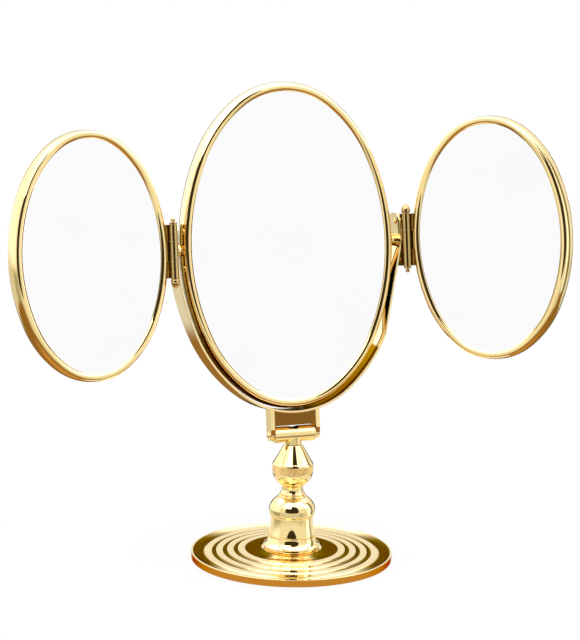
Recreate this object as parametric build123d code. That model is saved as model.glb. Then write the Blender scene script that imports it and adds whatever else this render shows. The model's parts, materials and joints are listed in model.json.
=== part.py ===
from build123d import *
from math import cos, radians, sin, sqrt
import os

# A three-wing table mirror in polished brass, in millimetres, +Z up.
# The origin is the centre of the base on the table, and the mirrors face -Y.

# Base
BASE_RADIUS = 90.0
BASE_EDGE_TOP = 7.0
BASE_EDGE_BOTTOM = 0.5
BASE_RIM_WIDTH = 1.4
BASE_COVE_WIDTH = 11.0
BASE_COVE_SHARE = 0.55
BASE_WALL = 1.6
RING_COUNT = 4
RING_FLAT = 6.2
RING_GROOVE = 3.6
RING_GROOVE_DEPTH = 0.9
RING_FIRST_TOP = 6.0
RING_STEP = 0.9
BASE_CENTRE_TOP = 10.0
BASE_CENTRE_RADIUS = 27.0
WELL_DEPTH = 0.8
FELT_THICKNESS = 1.0
FELT_MARGIN = 8.0
WEIGHT_MARGIN = 12.0
WEIGHT_BORE = 18.0
WEIGHT_STEP_MARGIN = 44.0
SEAT_GAP = 0.1

# Column
TUBE_RADIUS = 7.0
TUBE_BORE = 5.3
TUBE_BOTTOM = 1.8
THREAD_FIT = 0.05
WASHER_RADIUS = 13.0
WASHER_THICKNESS = 1.0
NUT_ACROSS_FLATS = 20.0
NUT_HEIGHT = 4.0
FOOT_RADIUS = 25.5
FOOT_NECK_RADIUS = 20.6
FOOT_BEAD_HEIGHT = 3.5
FOOT_BEAD_INSET = 1.0
FOOT_BEAD_ROUND = 1.5
FOOT_LIP = 0.4
FOOT_FLARE = 1.1
FOOT_FLARE_SHARE = 0.42
FOOT_HEIGHT = 13.0
SLEEVE_BOTTOM_RADIUS = 20.4
SLEEVE_TOP_RADIUS = 18.9
SLEEVE_HEIGHT = 16.5
SLEEVE_WALL = 2.4
SLEEVE_HOLLOW = 0.3
SLEEVE_HOLLOW_SHARE = 0.55
CAP_RADIUS = 20.7
CAP_SIDE_HEIGHT = 7.0
CAP_HEIGHT = 18.0
CAP_TOP_RADIUS = 12.0
CAP_STEP = 0.9
CAP_STEP_HEIGHT = 1.4
CAP_DOME_INSET = 2.9
CAP_DOME_SHARE = 0.6
CAP_WALL = 2.6
NECK_RING_RADIUS = 12.4
NECK_RING_HEIGHT = 1.8
NECK_WAIST_RADIUS = 9.4
NECK_HEIGHT = 10.2
NECK_ROUND = 0.6
NECK_RING_OUT = 1.9
NECK_RING_EDGE = 1.1
NECK_RING_RISE = 0.3
TUBE_IN_NECK = 7.9
COLLET_RADIUS = 7.6
COLLET_TIP_RADIUS = 6.6
COLLET_HEIGHT = 27.0
COLLET_TIP_HEIGHT = 6.0
COLLET_SLOT = 0.8
COLLET_SLOT_DEPTH = 17.0

# Locking collar
COLLAR_RADIUS = 18.2
COLLAR_FOOT_RADIUS = 10.4
COLLAR_TOP_RADIUS = 8.0
COLLAR_BULB_HEIGHT = 12.0
COLLAR_BULB_INSET = 2.5
COLLAR_BULB_SHARE = 0.45
COLLAR_SHOULDER_HEIGHT = 2.8
COLLAR_SHOULDER_INSET = 1.4
KNURL_HEIGHT = 7.3
COLLAR_CONE_HEIGHT = 18.2
RUNNING_GAP = 0.3

# Sliding stem
STEM_RADIUS = 5.0
STEM_FIT = 0.06
STEM_TRAVEL = 40.0
SPIGOT_RADIUS = 3.5
SPIGOT_HEIGHT = 6.0
SPIGOT_FIT = 0.05
STOP_HEIGHT = 2.0
STOP_GROOVE_DEPTH = 1.0
STOP_ABOVE_END = 1.0
SWIVEL_SCREW_RADIUS = 1.6
SWIVEL_SCREW_DEPTH = 9.0
SWIVEL_HEAD_RADIUS = 4.5
SWIVEL_SLOT = 0.8
SWIVEL_HEAD_HEIGHT = 1.8

# Cross barrel and clevis
PIVOT_HEIGHT = 115.0
BARREL_RADIUS = 7.2
BARREL_LENGTH = 38.4
BARREL_EDGE = 0.8
BARREL_BOSS_RADIUS = 7.0
BUSH_RADIUS = 4.0
BUSH_LENGTH = 10.0
TILT_SCREW_RADIUS = 2.5
TILT_SCREW_FIT = 0.05
TILT_HEAD_RADIUS = 3.4
TILT_HEAD_HEIGHT = 1.8
TILT_SLOT = 0.8
EAR_GAP = 0.35
EAR_THICKNESS = 3.6
EAR_WIDTH = 13.0
EAR_TIP_RADIUS = 5.0
SADDLE_GAP = 1.2
SADDLE_CORNER = 2.5
BRACKET_SCREW_RADIUS = 1.5
BRACKET_SCREW_SPACING = 20.0
BRACKET_SCREW_DEPTH = 8.0
BRACKET_HEAD_RADIUS = 2.9
BRACKET_HEAD_HEIGHT = 1.3

# Head
HEAD_TILT = 9.0
CENTRE_HALF_WIDTH = 97.2
CENTRE_HALF_HEIGHT = 142.5
CENTRE_DEPTH = 21.0
CENTRE_BULGE = 2.4
WING_HALF_WIDTH = 74.0
WING_HALF_HEIGHT = 107.0
WING_DEPTH = 18.0
WING_BULGE = 1.0
BAND_WALL = 1.3
BEZEL_WIDTH = 6.2
BEZEL_THICKNESS = 2.2
BEZEL_CREST = 2.6
BEZEL_OUTER_EDGE = 1.1
BEZEL_INNER_EDGE = 0.6
GLASS_THICKNESS = 3.0
GLASS_GAP = 0.3
REAR_GLASS_THICKNESS = 4.0
REAR_GLASS_SPHERE = 7000.0
PACKING_GAP = 2.5
BACK_THICKNESS = 0.8
BACK_BEAD_WIDTH = 4.0
BACK_BEAD_HEIGHT = 1.2

# Yoke
YOKE_SIDE_GAP = 4.8
YOKE_END_GAP = 1.5
YOKE_ABOVE_PIVOT = 19.6
YOKE_THICKNESS = 2.0
YOKE_DEPTH = 25.0
YOKE_END_RISE = 24.0
YOKE_END_CORNER = 8.0
STUD_RADIUS = 2.5
STUD_LENGTH = 9.0
STUD_FIT = 0.05
PIVOT_WASHER_RADIUS = 5.5
PIVOT_WASHER_THICKNESS = 2.3
PIVOT_BUSH_RADIUS = 4.0
PIVOT_FLANGE_RADIUS = 5.2
PIVOT_BUSH_LENGTH = 7.0

# Wing hinges
PIN_OUT = 2.9
PIN_FORWARD = 2.8
PIN_RADIUS = 1.6
PIN_FIT = 0.05
KNUCKLE_RADIUS = 3.5
MIDDLE_KNUCKLE = 17.5
END_KNUCKLE = 14.5
KNUCKLE_GAP = 0.3
WING_EDGE_OUT = 3.0
WING_FRONT_BACK = 3.3
LEAF_THICKNESS = 1.6
LEAF_DEPTH = 16.0
LEAF_NOTCH = 4.2
LEAF_RIVET_BACK = 11.8
LEAF_SEAT = 3.0
RIVET_RADIUS = 1.5
RIVET_FIT = 0.05
RIVET_HEAD_RADIUS = 2.6
RIVET_HEAD_HEIGHT = 0.9
RIVET_HEAD_GAP = 0.35
RIVET_SPACING = 34.0
WING_RIVET_SPACING = 32.0
ACORN_RADIUS = 3.9
ACORN_HEIGHT = 9.0
FINIAL_COLLAR_RADIUS = 3.3
FINIAL_COLLAR_HEIGHT = 1.6
FINIAL_BALL_RADIUS = 1.9
FINIAL_LIP = 0.6
FINIAL_NECK = 0.5
LEFT_WING_ANGLE = 13.5
RIGHT_WING_ANGLE = 48.0

# Oval drawn with eight tangent arcs, close to an ellipse
OVAL_SIDE_SHARE = 0.955
OVAL_SIDE_ANGLE = 24.0
OVAL_TOP_ANGLE = 52.0

# Sizes that follow from the ones above
FELT_RADIUS = BASE_RADIUS - FELT_MARGIN
WEIGHT_RADIUS = BASE_RADIUS - WEIGHT_MARGIN
WEIGHT_STEP_RADIUS = BASE_RADIUS - WEIGHT_STEP_MARGIN
FOOT_TOP = BASE_CENTRE_TOP + FOOT_HEIGHT
SLEEVE_TOP = FOOT_TOP + SLEEVE_HEIGHT
CAP_TOP = SLEEVE_TOP + CAP_HEIGHT
NECK_TOP = CAP_TOP + NECK_HEIGHT
COLLAR_BOTTOM = NECK_TOP + RUNNING_GAP
KNURL_BOTTOM = COLLAR_BOTTOM + COLLAR_BULB_HEIGHT
KNURL_TOP = KNURL_BOTTOM + KNURL_HEIGHT
COLLAR_TOP = KNURL_TOP + COLLAR_CONE_HEIGHT
TUBE_TOP = CAP_TOP + TUBE_IN_NECK
STOP_BOTTOM = TUBE_TOP - RUNNING_GAP - STEM_TRAVEL - STOP_HEIGHT
STEM_BOTTOM = STOP_BOTTOM - STOP_ABOVE_END
STEM_SHOULDER = COLLAR_TOP + RUNNING_GAP
EAR_INNER = BARREL_LENGTH / 2 + EAR_GAP
EAR_OUTER = EAR_INNER + EAR_THICKNESS
YOKE_HALF_WIDTH = CENTRE_HALF_WIDTH + CENTRE_BULGE + YOKE_SIDE_GAP + YOKE_THICKNESS
YOKE_HALF_HEIGHT = CENTRE_HALF_HEIGHT + CENTRE_BULGE + YOKE_END_GAP + YOKE_THICKNESS
MIRROR_RISE = YOKE_HALF_HEIGHT + YOKE_ABOVE_PIVOT
PIN_X = YOKE_HALF_WIDTH + PIN_OUT
PIN_Y = -YOKE_DEPTH / 2 - PIN_FORWARD
HINGE_HEIGHT = MIDDLE_KNUCKLE + 2 * END_KNUCKLE
GLASS_INSET = BAND_WALL + GLASS_GAP

os.makedirs("parts", exist_ok=True)


def save(node, shape):
    """Write one named piece."""
    export_step(shape, f"parts/{node}.step")


def rz(radius, height):
    """Point of a turned profile."""
    return (radius, 0, height)


def turned(*edges):
    """Solid of revolution about Z from the closed outline of its edges."""
    return revolve(make_face(Curve() + list(edges)), axis=Axis.Z)


def turned_points(*points):
    """Solid of revolution about Z from straight edges."""
    return revolve(make_face(Polyline(*[rz(*p) for p in points], close=True)), axis=Axis.Z)


def rod(radius, start, end, axis="Z", at=(0, 0)):
    """Round rod along an axis, from start to end, at a place across it."""
    body = extrude(Circle(radius), end - start)
    if axis == "Z":
        return Pos(at[0], at[1], start) * body
    if axis == "X":
        return Pos(start, at[0], at[1]) * Rot(0, 90, 0) * body
    return Pos(at[0], start, at[1]) * Rot(-90, 0, 0) * body


def block(x0, x1, y0, y1, z0, z1):
    """Box between two corners."""
    centre = ((x0 + x1) / 2, (y0 + y1) / 2, (z0 + z1) / 2)
    return Pos(*centre) * Box(x1 - x0, y1 - y0, z1 - z0)


def oval_arcs(half_width, half_height):
    """Centre, radius, first and last angle of the eight arcs of an oval."""
    side = OVAL_SIDE_SHARE * half_height**2 / half_width
    c1, s1 = cos(radians(OVAL_SIDE_ANGLE)), sin(radians(OVAL_SIDE_ANGLE))
    c2, s2 = cos(radians(OVAL_TOP_ANGLE)), sin(radians(OVAL_TOP_ANGLE))
    across = half_width - side + side * c1
    along = half_height - side * s1
    shoulder = (along * c2 - across * (1 - s2)) / ((c1 - c2) * (s2 - 1) + (s2 - s1) * c2)
    top = (across - shoulder * (c1 - c2)) / c2
    shoulder_x = half_width - side + (side - shoulder) * c1
    shoulder_z = (side - shoulder) * s1
    top_z = half_height - top
    a1, a2 = OVAL_SIDE_ANGLE, OVAL_TOP_ANGLE
    return [
        ((half_width - side, 0), side, -a1, a1),
        ((shoulder_x, shoulder_z), shoulder, a1, a2),
        ((0, top_z), top, a2, 180 - a2),
        ((-shoulder_x, shoulder_z), shoulder, 180 - a2, 180 - a1),
        ((side - half_width, 0), side, 180 - a1, 180 + a1),
        ((-shoulder_x, -shoulder_z), shoulder, 180 + a1, 180 + a2),
        ((0, -top_z), top, 180 + a2, 360 - a2),
        ((shoulder_x, -shoulder_z), shoulder, 360 - a2, 360 - a1),
    ]


CENTRE_OVAL = oval_arcs(CENTRE_HALF_WIDTH, CENTRE_HALF_HEIGHT)
WING_OVAL = oval_arcs(WING_HALF_WIDTH, WING_HALF_HEIGHT)
YOKE_OVAL = oval_arcs(YOKE_HALF_WIDTH, YOKE_HALF_HEIGHT)


def oval_plate(oval, offset, front, back):
    """Flat oval plate between two depths, its edge moved out by offset."""
    edges = []
    for (cx, cz), radius, first, last in oval:
        angles = (first, (first + last) / 2, last)
        reach = radius + offset
        points = [(cx + reach * cos(radians(a)), front, cz + reach * sin(radians(a))) for a in angles]
        edges.append(ThreePointArc(*points))
    return extrude(make_face(Curve() + edges), amount=back - front, dir=(0, 1, 0))


def oval_ring(oval, section):
    """Ring with the same section all round; section(radius) gives its edges in the X-Y plane."""
    pieces = []
    for (cx, cz), radius, first, last in oval:
        face = make_face(Curve() + section(radius))
        whole = revolve(face, axis=Axis((0, 0, 0), (0, -1, 0)), revolution_arc=last - first)
        pieces.append(Pos(cx, 0, cz) * Rot(0, -first, 0) * whole)
    return pieces[0].fuse(*pieces[1:]).clean()


def band_section(depth, bulge):
    """Section of a frame's outer wall: bowed outside, flat inside."""
    half = depth / 2 - BEZEL_THICKNESS

    def section(radius):
        inner = radius - BAND_WALL
        return [
            ThreePointArc((radius, -half), (radius + bulge, 0), (radius, half)),
            Polyline((radius, half), (inner, half), (inner, -half), (radius, -half)),
        ]

    return section


def bezel_section(depth, side):
    """Section of a bezel, a bead that slopes down to the glass."""
    seat = side * (depth / 2 - BEZEL_THICKNESS)

    def section(radius):
        outer = (radius, seat + side * BEZEL_OUTER_EDGE)
        crest = (radius - BEZEL_CREST, seat + side * BEZEL_THICKNESS)
        inner = (radius - BEZEL_WIDTH, seat + side * BEZEL_INNER_EDGE)
        return [
            ThreePointArc(outer, crest, inner),
            Polyline(inner, (radius - BEZEL_WIDTH, seat), (radius, seat), outer),
        ]

    return section


def make_base():
    """Dish, weight, felt, and the washer and nut that hold the column."""
    top = [rz(BASE_RADIUS, BASE_EDGE_BOTTOM), rz(BASE_RADIUS, BASE_EDGE_TOP)]
    edges = [Line(*top)]
    rim_in = BASE_RADIUS - BASE_RIM_WIDTH
    edges.append(Line(top[-1], rz(rim_in, BASE_EDGE_TOP)))
    radius = rim_in - BASE_COVE_WIDTH
    height = RING_FIRST_TOP
    cove_low = min(height, BASE_EDGE_TOP) - RING_GROOVE_DEPTH
    cove_mid = rz(rim_in - BASE_COVE_WIDTH * BASE_COVE_SHARE, cove_low)
    edges.append(ThreePointArc(rz(rim_in, BASE_EDGE_TOP), cove_mid, rz(radius, height)))
    for ring in range(RING_COUNT):
        inner = radius - RING_FLAT
        edges.append(Line(rz(radius, height), rz(inner, height)))
        last = ring == RING_COUNT - 1
        radius = BASE_CENTRE_RADIUS if last else inner - RING_GROOVE
        after = BASE_CENTRE_TOP if last else height + RING_STEP
        dip = WELL_DEPTH if last else RING_GROOVE_DEPTH
        middle = rz((inner + radius) / 2, (height + after) / 2 - dip)
        edges.append(ThreePointArc(rz(inner, height), middle, rz(radius, after)))
        height = after
    edges.append(Line(rz(radius, height), rz(0, height)))
    under_middle = BASE_CENTRE_TOP - BASE_WALL
    under_edge = RING_FIRST_TOP - RING_GROOVE_DEPTH - BASE_WALL
    wall_in = BASE_RADIUS - BASE_WALL - 2 * BASE_RIM_WIDTH
    edges.append(
        Polyline(
            rz(0, BASE_CENTRE_TOP),
            rz(0, under_middle),
            rz(WEIGHT_BORE, under_middle),
            rz(WEIGHT_STEP_RADIUS, under_edge + RING_STEP),
            rz(WEIGHT_RADIUS, under_edge),
            rz(wall_in, under_edge),
            rz(wall_in, BASE_EDGE_BOTTOM),
            rz(BASE_RADIUS, BASE_EDGE_BOTTOM),
        )
    )
    dish = turned(*edges) - rod(TUBE_RADIUS + THREAD_FIT, 0, BASE_CENTRE_TOP + 1)
    save("base_dish", dish)
    weight = turned_points(
        (WEIGHT_BORE, FELT_THICKNESS),
        (WEIGHT_RADIUS, FELT_THICKNESS),
        (WEIGHT_RADIUS, under_edge - SEAT_GAP),
        (WEIGHT_STEP_RADIUS, under_edge + RING_STEP - SEAT_GAP),
        (WEIGHT_BORE, under_middle - SEAT_GAP),
    )
    save("base_weight", weight)
    save("base_felt", rod(FELT_RADIUS, 0, FELT_THICKNESS))
    bore = rod(TUBE_RADIUS + THREAD_FIT, -1, CAP_TOP)
    washer_low = under_middle - WASHER_THICKNESS
    save("base_washer", rod(WASHER_RADIUS, washer_low, under_middle) - bore)
    nut = extrude(RegularPolygon(NUT_ACROSS_FLATS / 2, 6, major_radius=False), NUT_HEIGHT)
    save("base_nut", Pos(0, 0, washer_low - NUT_HEIGHT) * nut - bore)


def make_column():
    """Tube, foot, sleeve, cap and ringed neck."""
    bore = rod(TUBE_RADIUS + THREAD_FIT, -1, CAP_TOP + 1)
    save("column_tube", rod(TUBE_RADIUS, TUBE_BOTTOM, TUBE_TOP) - rod(TUBE_BORE, 0, TUBE_TOP + 1))
    low = BASE_CENTRE_TOP
    bead_top = low + FOOT_BEAD_HEIGHT
    bead = FOOT_RADIUS - FOOT_BEAD_INSET
    bead_low = rz(bead - FOOT_BEAD_ROUND, low)
    bead_high = rz(bead - FOOT_BEAD_ROUND / 2, bead_top - 1.5 * FOOT_LIP)
    flare_height = bead_top + (FOOT_HEIGHT - FOOT_BEAD_HEIGHT) * FOOT_FLARE_SHARE
    flare = rz(FOOT_NECK_RADIUS + FOOT_FLARE, flare_height)
    foot = turned(
        Line(rz(0, low), bead_low),
        ThreePointArc(bead_low, rz(bead, low + FOOT_BEAD_ROUND), bead_high),
        Polyline(bead_high, rz(FOOT_RADIUS, bead_top - FOOT_LIP), rz(FOOT_RADIUS, bead_top)),
        ThreePointArc(rz(FOOT_RADIUS, bead_top), flare, rz(FOOT_NECK_RADIUS, FOOT_TOP)),
        Polyline(rz(FOOT_NECK_RADIUS, FOOT_TOP), rz(0, FOOT_TOP), rz(0, low)),
    )
    save("column_foot", foot - bore)
    inner = SLEEVE_TOP_RADIUS - SLEEVE_WALL
    sleeve_mid = (SLEEVE_BOTTOM_RADIUS + SLEEVE_TOP_RADIUS) / 2
    sleeve = turned(
        Line(rz(inner, FOOT_TOP), rz(SLEEVE_BOTTOM_RADIUS, FOOT_TOP)),
        ThreePointArc(
            rz(SLEEVE_BOTTOM_RADIUS, FOOT_TOP),
            rz(sleeve_mid - SLEEVE_HOLLOW, FOOT_TOP + SLEEVE_HEIGHT * SLEEVE_HOLLOW_SHARE),
            rz(SLEEVE_TOP_RADIUS, SLEEVE_TOP),
        ),
        Polyline(rz(SLEEVE_TOP_RADIUS, SLEEVE_TOP), rz(inner, SLEEVE_TOP), rz(inner, FOOT_TOP)),
    )
    save("column_sleeve", sleeve)
    side_top = SLEEVE_TOP + CAP_SIDE_HEIGHT
    dome_height = side_top + (CAP_HEIGHT - CAP_SIDE_HEIGHT) * CAP_DOME_SHARE
    dome = rz(CAP_RADIUS - CAP_DOME_INSET, dome_height)
    cap = turned(
        Polyline(
            rz(0, SLEEVE_TOP),
            rz(CAP_RADIUS - CAP_STEP, SLEEVE_TOP),
            rz(CAP_RADIUS - CAP_STEP, SLEEVE_TOP + CAP_STEP_HEIGHT),
            rz(CAP_RADIUS, SLEEVE_TOP + CAP_STEP_HEIGHT + CAP_STEP),
            rz(CAP_RADIUS, side_top),
        ),
        ThreePointArc(rz(CAP_RADIUS, side_top), dome, rz(CAP_TOP_RADIUS, CAP_TOP)),
        Polyline(rz(CAP_TOP_RADIUS, CAP_TOP), rz(0, CAP_TOP), rz(0, SLEEVE_TOP)),
    )
    hollow = turned_points(
        (0, SLEEVE_TOP - 1),
        (inner, SLEEVE_TOP - 1),
        (inner, side_top - CAP_WALL),
        (CAP_TOP_RADIUS - CAP_WALL, CAP_TOP - CAP_WALL),
        (0, CAP_TOP - CAP_WALL),
    )
    save("column_cap", cap - hollow - bore)
    ring_top = CAP_TOP + NECK_RING_HEIGHT
    second = ring_top + NECK_RING_HEIGHT
    tip = NECK_TOP + COLLET_HEIGHT
    ring_low = rz(NECK_RING_RADIUS - NECK_ROUND, CAP_TOP)
    ring_high = rz(NECK_RING_RADIUS - NECK_ROUND, ring_top)
    upper_low = rz(NECK_WAIST_RADIUS + NECK_RING_EDGE, ring_top + NECK_RING_RISE)
    upper_mid = rz(NECK_WAIST_RADIUS + NECK_RING_OUT, (ring_top + second) / 2 + NECK_RING_RISE)
    upper_high = rz(NECK_WAIST_RADIUS + NECK_RING_EDGE, second + NECK_RING_RISE)
    neck = turned(
        Line(rz(0, CAP_TOP), ring_low),
        ThreePointArc(ring_low, rz(NECK_RING_RADIUS, (CAP_TOP + ring_top) / 2), ring_high),
        Line(ring_high, upper_low),
        ThreePointArc(upper_low, upper_mid, upper_high),
        ThreePointArc(
            upper_high,
            rz(NECK_WAIST_RADIUS, (second + NECK_TOP) / 2),
            rz(NECK_WAIST_RADIUS + NECK_RING_EDGE / 2, NECK_TOP),
        ),
        Polyline(
            rz(NECK_WAIST_RADIUS + NECK_RING_EDGE / 2, NECK_TOP),
            rz(COLLET_RADIUS, NECK_TOP),
            rz(COLLET_RADIUS, tip - COLLET_TIP_HEIGHT),
            rz(COLLET_TIP_RADIUS, tip),
            rz(0, tip),
            rz(0, CAP_TOP),
        ),
    )
    neck -= rod(TUBE_RADIUS + THREAD_FIT, CAP_TOP - 1, TUBE_TOP)
    neck -= rod(STEM_RADIUS + STEM_FIT, TUBE_TOP - 1, tip + 1)
    for angle in (0, 60, 120):
        width = COLLET_RADIUS + 1
        slot = block(-width, width, -COLLET_SLOT / 2, COLLET_SLOT / 2, tip - COLLET_SLOT_DEPTH, tip + 1)
        neck -= Rot(0, 0, angle) * slot
    save("neck_collet", neck)


def make_collar():
    """Knurled collar that squeezes the collet."""
    bulb_height = COLLAR_BOTTOM + COLLAR_BULB_HEIGHT * COLLAR_BULB_SHARE
    bulb_mid = rz(COLLAR_RADIUS - COLLAR_BULB_INSET, bulb_height)
    shoulder = rz(COLLAR_RADIUS - COLLAR_SHOULDER_INSET, KNURL_TOP + COLLAR_SHOULDER_HEIGHT)
    shoulder_mid = rz(COLLAR_RADIUS - COLLAR_SHOULDER_INSET / 3, KNURL_TOP + COLLAR_SHOULDER_HEIGHT / 2)
    outside = turned(
        Line(rz(0, COLLAR_BOTTOM), rz(COLLAR_FOOT_RADIUS, COLLAR_BOTTOM)),
        ThreePointArc(rz(COLLAR_FOOT_RADIUS, COLLAR_BOTTOM), bulb_mid, rz(COLLAR_RADIUS, KNURL_BOTTOM)),
        Line(rz(COLLAR_RADIUS, KNURL_BOTTOM), rz(COLLAR_RADIUS, KNURL_TOP)),
        ThreePointArc(rz(COLLAR_RADIUS, KNURL_TOP), shoulder_mid, shoulder),
        Polyline(
            shoulder,
            rz(COLLAR_TOP_RADIUS, COLLAR_TOP),
            rz(0, COLLAR_TOP),
            rz(0, COLLAR_BOTTOM),
        ),
    )
    bore = STEM_RADIUS + RUNNING_GAP
    thread = COLLET_RADIUS + RUNNING_GAP
    tip = NECK_TOP + COLLET_HEIGHT + RUNNING_GAP
    inside = turned_points(
        (0, COLLAR_BOTTOM - 1),
        (thread, COLLAR_BOTTOM - 1),
        (thread, tip - COLLET_TIP_HEIGHT),
        (COLLET_TIP_RADIUS + RUNNING_GAP, tip),
        (bore, tip + 1),
        (bore, COLLAR_TOP + 1),
        (0, COLLAR_TOP + 1),
    )
    save("locking_collar", outside - inside)


def make_stem():
    """Sliding rod with its stop ring and the screw that holds the barrel."""
    spigot_top = STEM_SHOULDER + SPIGOT_HEIGHT
    stem = rod(STEM_RADIUS, STEM_BOTTOM, STEM_SHOULDER)
    stem += rod(SPIGOT_RADIUS, STEM_SHOULDER, spigot_top)
    screw_end = spigot_top - SWIVEL_SCREW_DEPTH
    stem -= rod(SWIVEL_SCREW_RADIUS, screw_end, spigot_top + 1)
    stop_top = STOP_BOTTOM + STOP_HEIGHT
    core = rod(STEM_RADIUS - STOP_GROOVE_DEPTH, STEM_BOTTOM, stop_top + 1)
    stem -= rod(STEM_RADIUS + 1, STOP_BOTTOM, stop_top) - core
    save("stem_rod", stem)
    save("stem_stop", rod(TUBE_BORE - STEM_FIT, STOP_BOTTOM, stop_top) - core)
    head_low = spigot_top + STEM_FIT
    screw = rod(SWIVEL_SCREW_RADIUS, screw_end, head_low)
    head_top = head_low + SWIVEL_HEAD_HEIGHT
    screw += rod(SWIVEL_HEAD_RADIUS, head_low, head_top)
    wide = SWIVEL_HEAD_RADIUS + 1
    slot_low = head_top - SWIVEL_HEAD_HEIGHT / 2
    slot = block(-wide, wide, -SWIVEL_SLOT / 2, SWIVEL_SLOT / 2, slot_low, head_top + 1)
    save("swivel_screw", screw - slot)


def make_barrel():
    """Cross barrel with its two bushes."""
    half = BARREL_LENGTH / 2
    barrel = rod(BARREL_RADIUS, -half, half, "X", (0, PIVOT_HEIGHT))
    barrel = chamfer(barrel.edges().filter_by(GeomType.CIRCLE), BARREL_EDGE)
    boss_low = STEM_SHOULDER + STEM_FIT
    barrel += rod(BARREL_BOSS_RADIUS, boss_low, PIVOT_HEIGHT)
    spigot_top = STEM_SHOULDER + SPIGOT_HEIGHT
    barrel -= rod(SPIGOT_RADIUS + SPIGOT_FIT, boss_low - 1, spigot_top)
    barrel -= rod(SWIVEL_HEAD_RADIUS + RUNNING_GAP, spigot_top, PIVOT_HEIGHT + BARREL_RADIUS + 1)
    bushes = []
    for side in (-1, 1):
        start = half if side > 0 else -half
        end = start - side * BUSH_LENGTH
        low, high = min(start, end), max(start, end)
        bore = rod(BUSH_RADIUS, low, high, "X", (0, PIVOT_HEIGHT))
        barrel -= bore
        bushes.append(bore - rod(TILT_SCREW_RADIUS + TILT_SCREW_FIT, low - 1, high + 1, "X", (0, PIVOT_HEIGHT)))
    save("pivot_barrel", barrel)
    save("tilt_bushes", Compound(bushes))


def head_place(shape):
    """Tilt a piece of the head, drawn upright with the tilt axis as its origin."""
    return Pos(0, 0, PIVOT_HEIGHT) * Rot(-HEAD_TILT, 0, 0) * shape


def mirror_place(shape):
    """Place a piece drawn about the middle of the centre mirror."""
    return head_place(Pos(0, 0, MIRROR_RISE) * shape)


def make_bracket():
    """Clevis, its tilt screws and the screws that hold the yoke on it."""
    yoke_low = MIRROR_RISE - YOKE_HALF_HEIGHT
    saddle_low = BARREL_RADIUS + SADDLE_GAP
    half = EAR_WIDTH / 2
    top = yoke_low + YOKE_THICKNESS + EAR_THICKNESS
    body = block(-EAR_OUTER, EAR_OUTER, -half, half, saddle_low, top)
    for side in (-1, 1):
        x0, x1 = sorted((side * EAR_INNER, side * EAR_OUTER))
        tip = rod(EAR_TIP_RADIUS, x0, x1, "X")
        wide = block(x0, x1, -half, half, EAR_TIP_RADIUS, saddle_low)
        neck = make_face(
            Polyline(
                (x0, -half, EAR_TIP_RADIUS),
                (x0, half, EAR_TIP_RADIUS),
                (x0, EAR_TIP_RADIUS, 0),
                (x0, -EAR_TIP_RADIUS, 0),
                close=True,
            )
        )
        body += tip + wide + extrude(neck, amount=x1 - x0, dir=(1, 0, 0))
    corners = body.edges().filter_by(Axis.Y).filter_by(
        lambda e: abs(abs(e.center().X) - EAR_INNER) < 0.01 and abs(e.center().Z - saddle_low) < 0.01
    )
    body = fillet(corners, SADDLE_CORNER)
    body -= Pos(0, 0, MIRROR_RISE) * oval_plate(YOKE_OVAL, 0, -half - 1, half + 1)
    body -= rod(TILT_SCREW_RADIUS, -EAR_OUTER - 1, EAR_OUTER + 1, "X")
    screws = []
    for side in (-1, 1):
        x = side * BRACKET_SCREW_SPACING / 2
        crown = MIRROR_RISE - yoke_inner_height(x)
        body -= rod(BRACKET_SCREW_RADIUS, crown - BRACKET_SCREW_DEPTH, crown, at=(x, 0))
        screw = rod(BRACKET_SCREW_RADIUS, crown - BRACKET_SCREW_DEPTH, crown, at=(x, 0))
        head = Cone(BRACKET_SCREW_RADIUS, BRACKET_HEAD_RADIUS, BRACKET_HEAD_HEIGHT)
        screw += Pos(x, 0, crown - BRACKET_HEAD_HEIGHT / 2) * head
        screws.append(screw)
    save("tilt_bracket", head_place(body))
    save("bracket_screws", head_place(Compound(screws)))
    tilt_screws = []
    for side in (-1, 1):
        inner = side * (BARREL_LENGTH / 2 - BUSH_LENGTH + 1)
        x0, x1 = sorted((inner, side * EAR_OUTER))
        shank = rod(TILT_SCREW_RADIUS, x0, x1, "X")
        dome = turned(
            Polyline(rz(TILT_HEAD_RADIUS, 0), rz(0, 0), rz(0, TILT_HEAD_HEIGHT)),
            ThreePointArc(
                rz(0, TILT_HEAD_HEIGHT),
                rz(TILT_HEAD_RADIUS * 0.62, TILT_HEAD_HEIGHT * 0.82),
                rz(TILT_HEAD_RADIUS, 0),
            ),
        )
        wide = TILT_HEAD_RADIUS + 1
        dome -= block(-wide, wide, -TILT_SLOT / 2, TILT_SLOT / 2, TILT_HEAD_HEIGHT * 0.55, TILT_HEAD_HEIGHT + 1)
        head = Pos(side * EAR_OUTER, 0, 0) * Rot(0, side * 90, 0) * dome
        tilt_screws.append(shank + head)
    save("tilt_screws", head_place(Compound(tilt_screws)))


def yoke_inner_height(x):
    """Depth of the yoke's inner face below the mirror's middle, at a distance from its lowest point."""
    (_, cz), radius, _, _ = YOKE_OVAL[6]
    reach = radius - YOKE_THICKNESS
    return -cz + sqrt(reach**2 - x**2)


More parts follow.
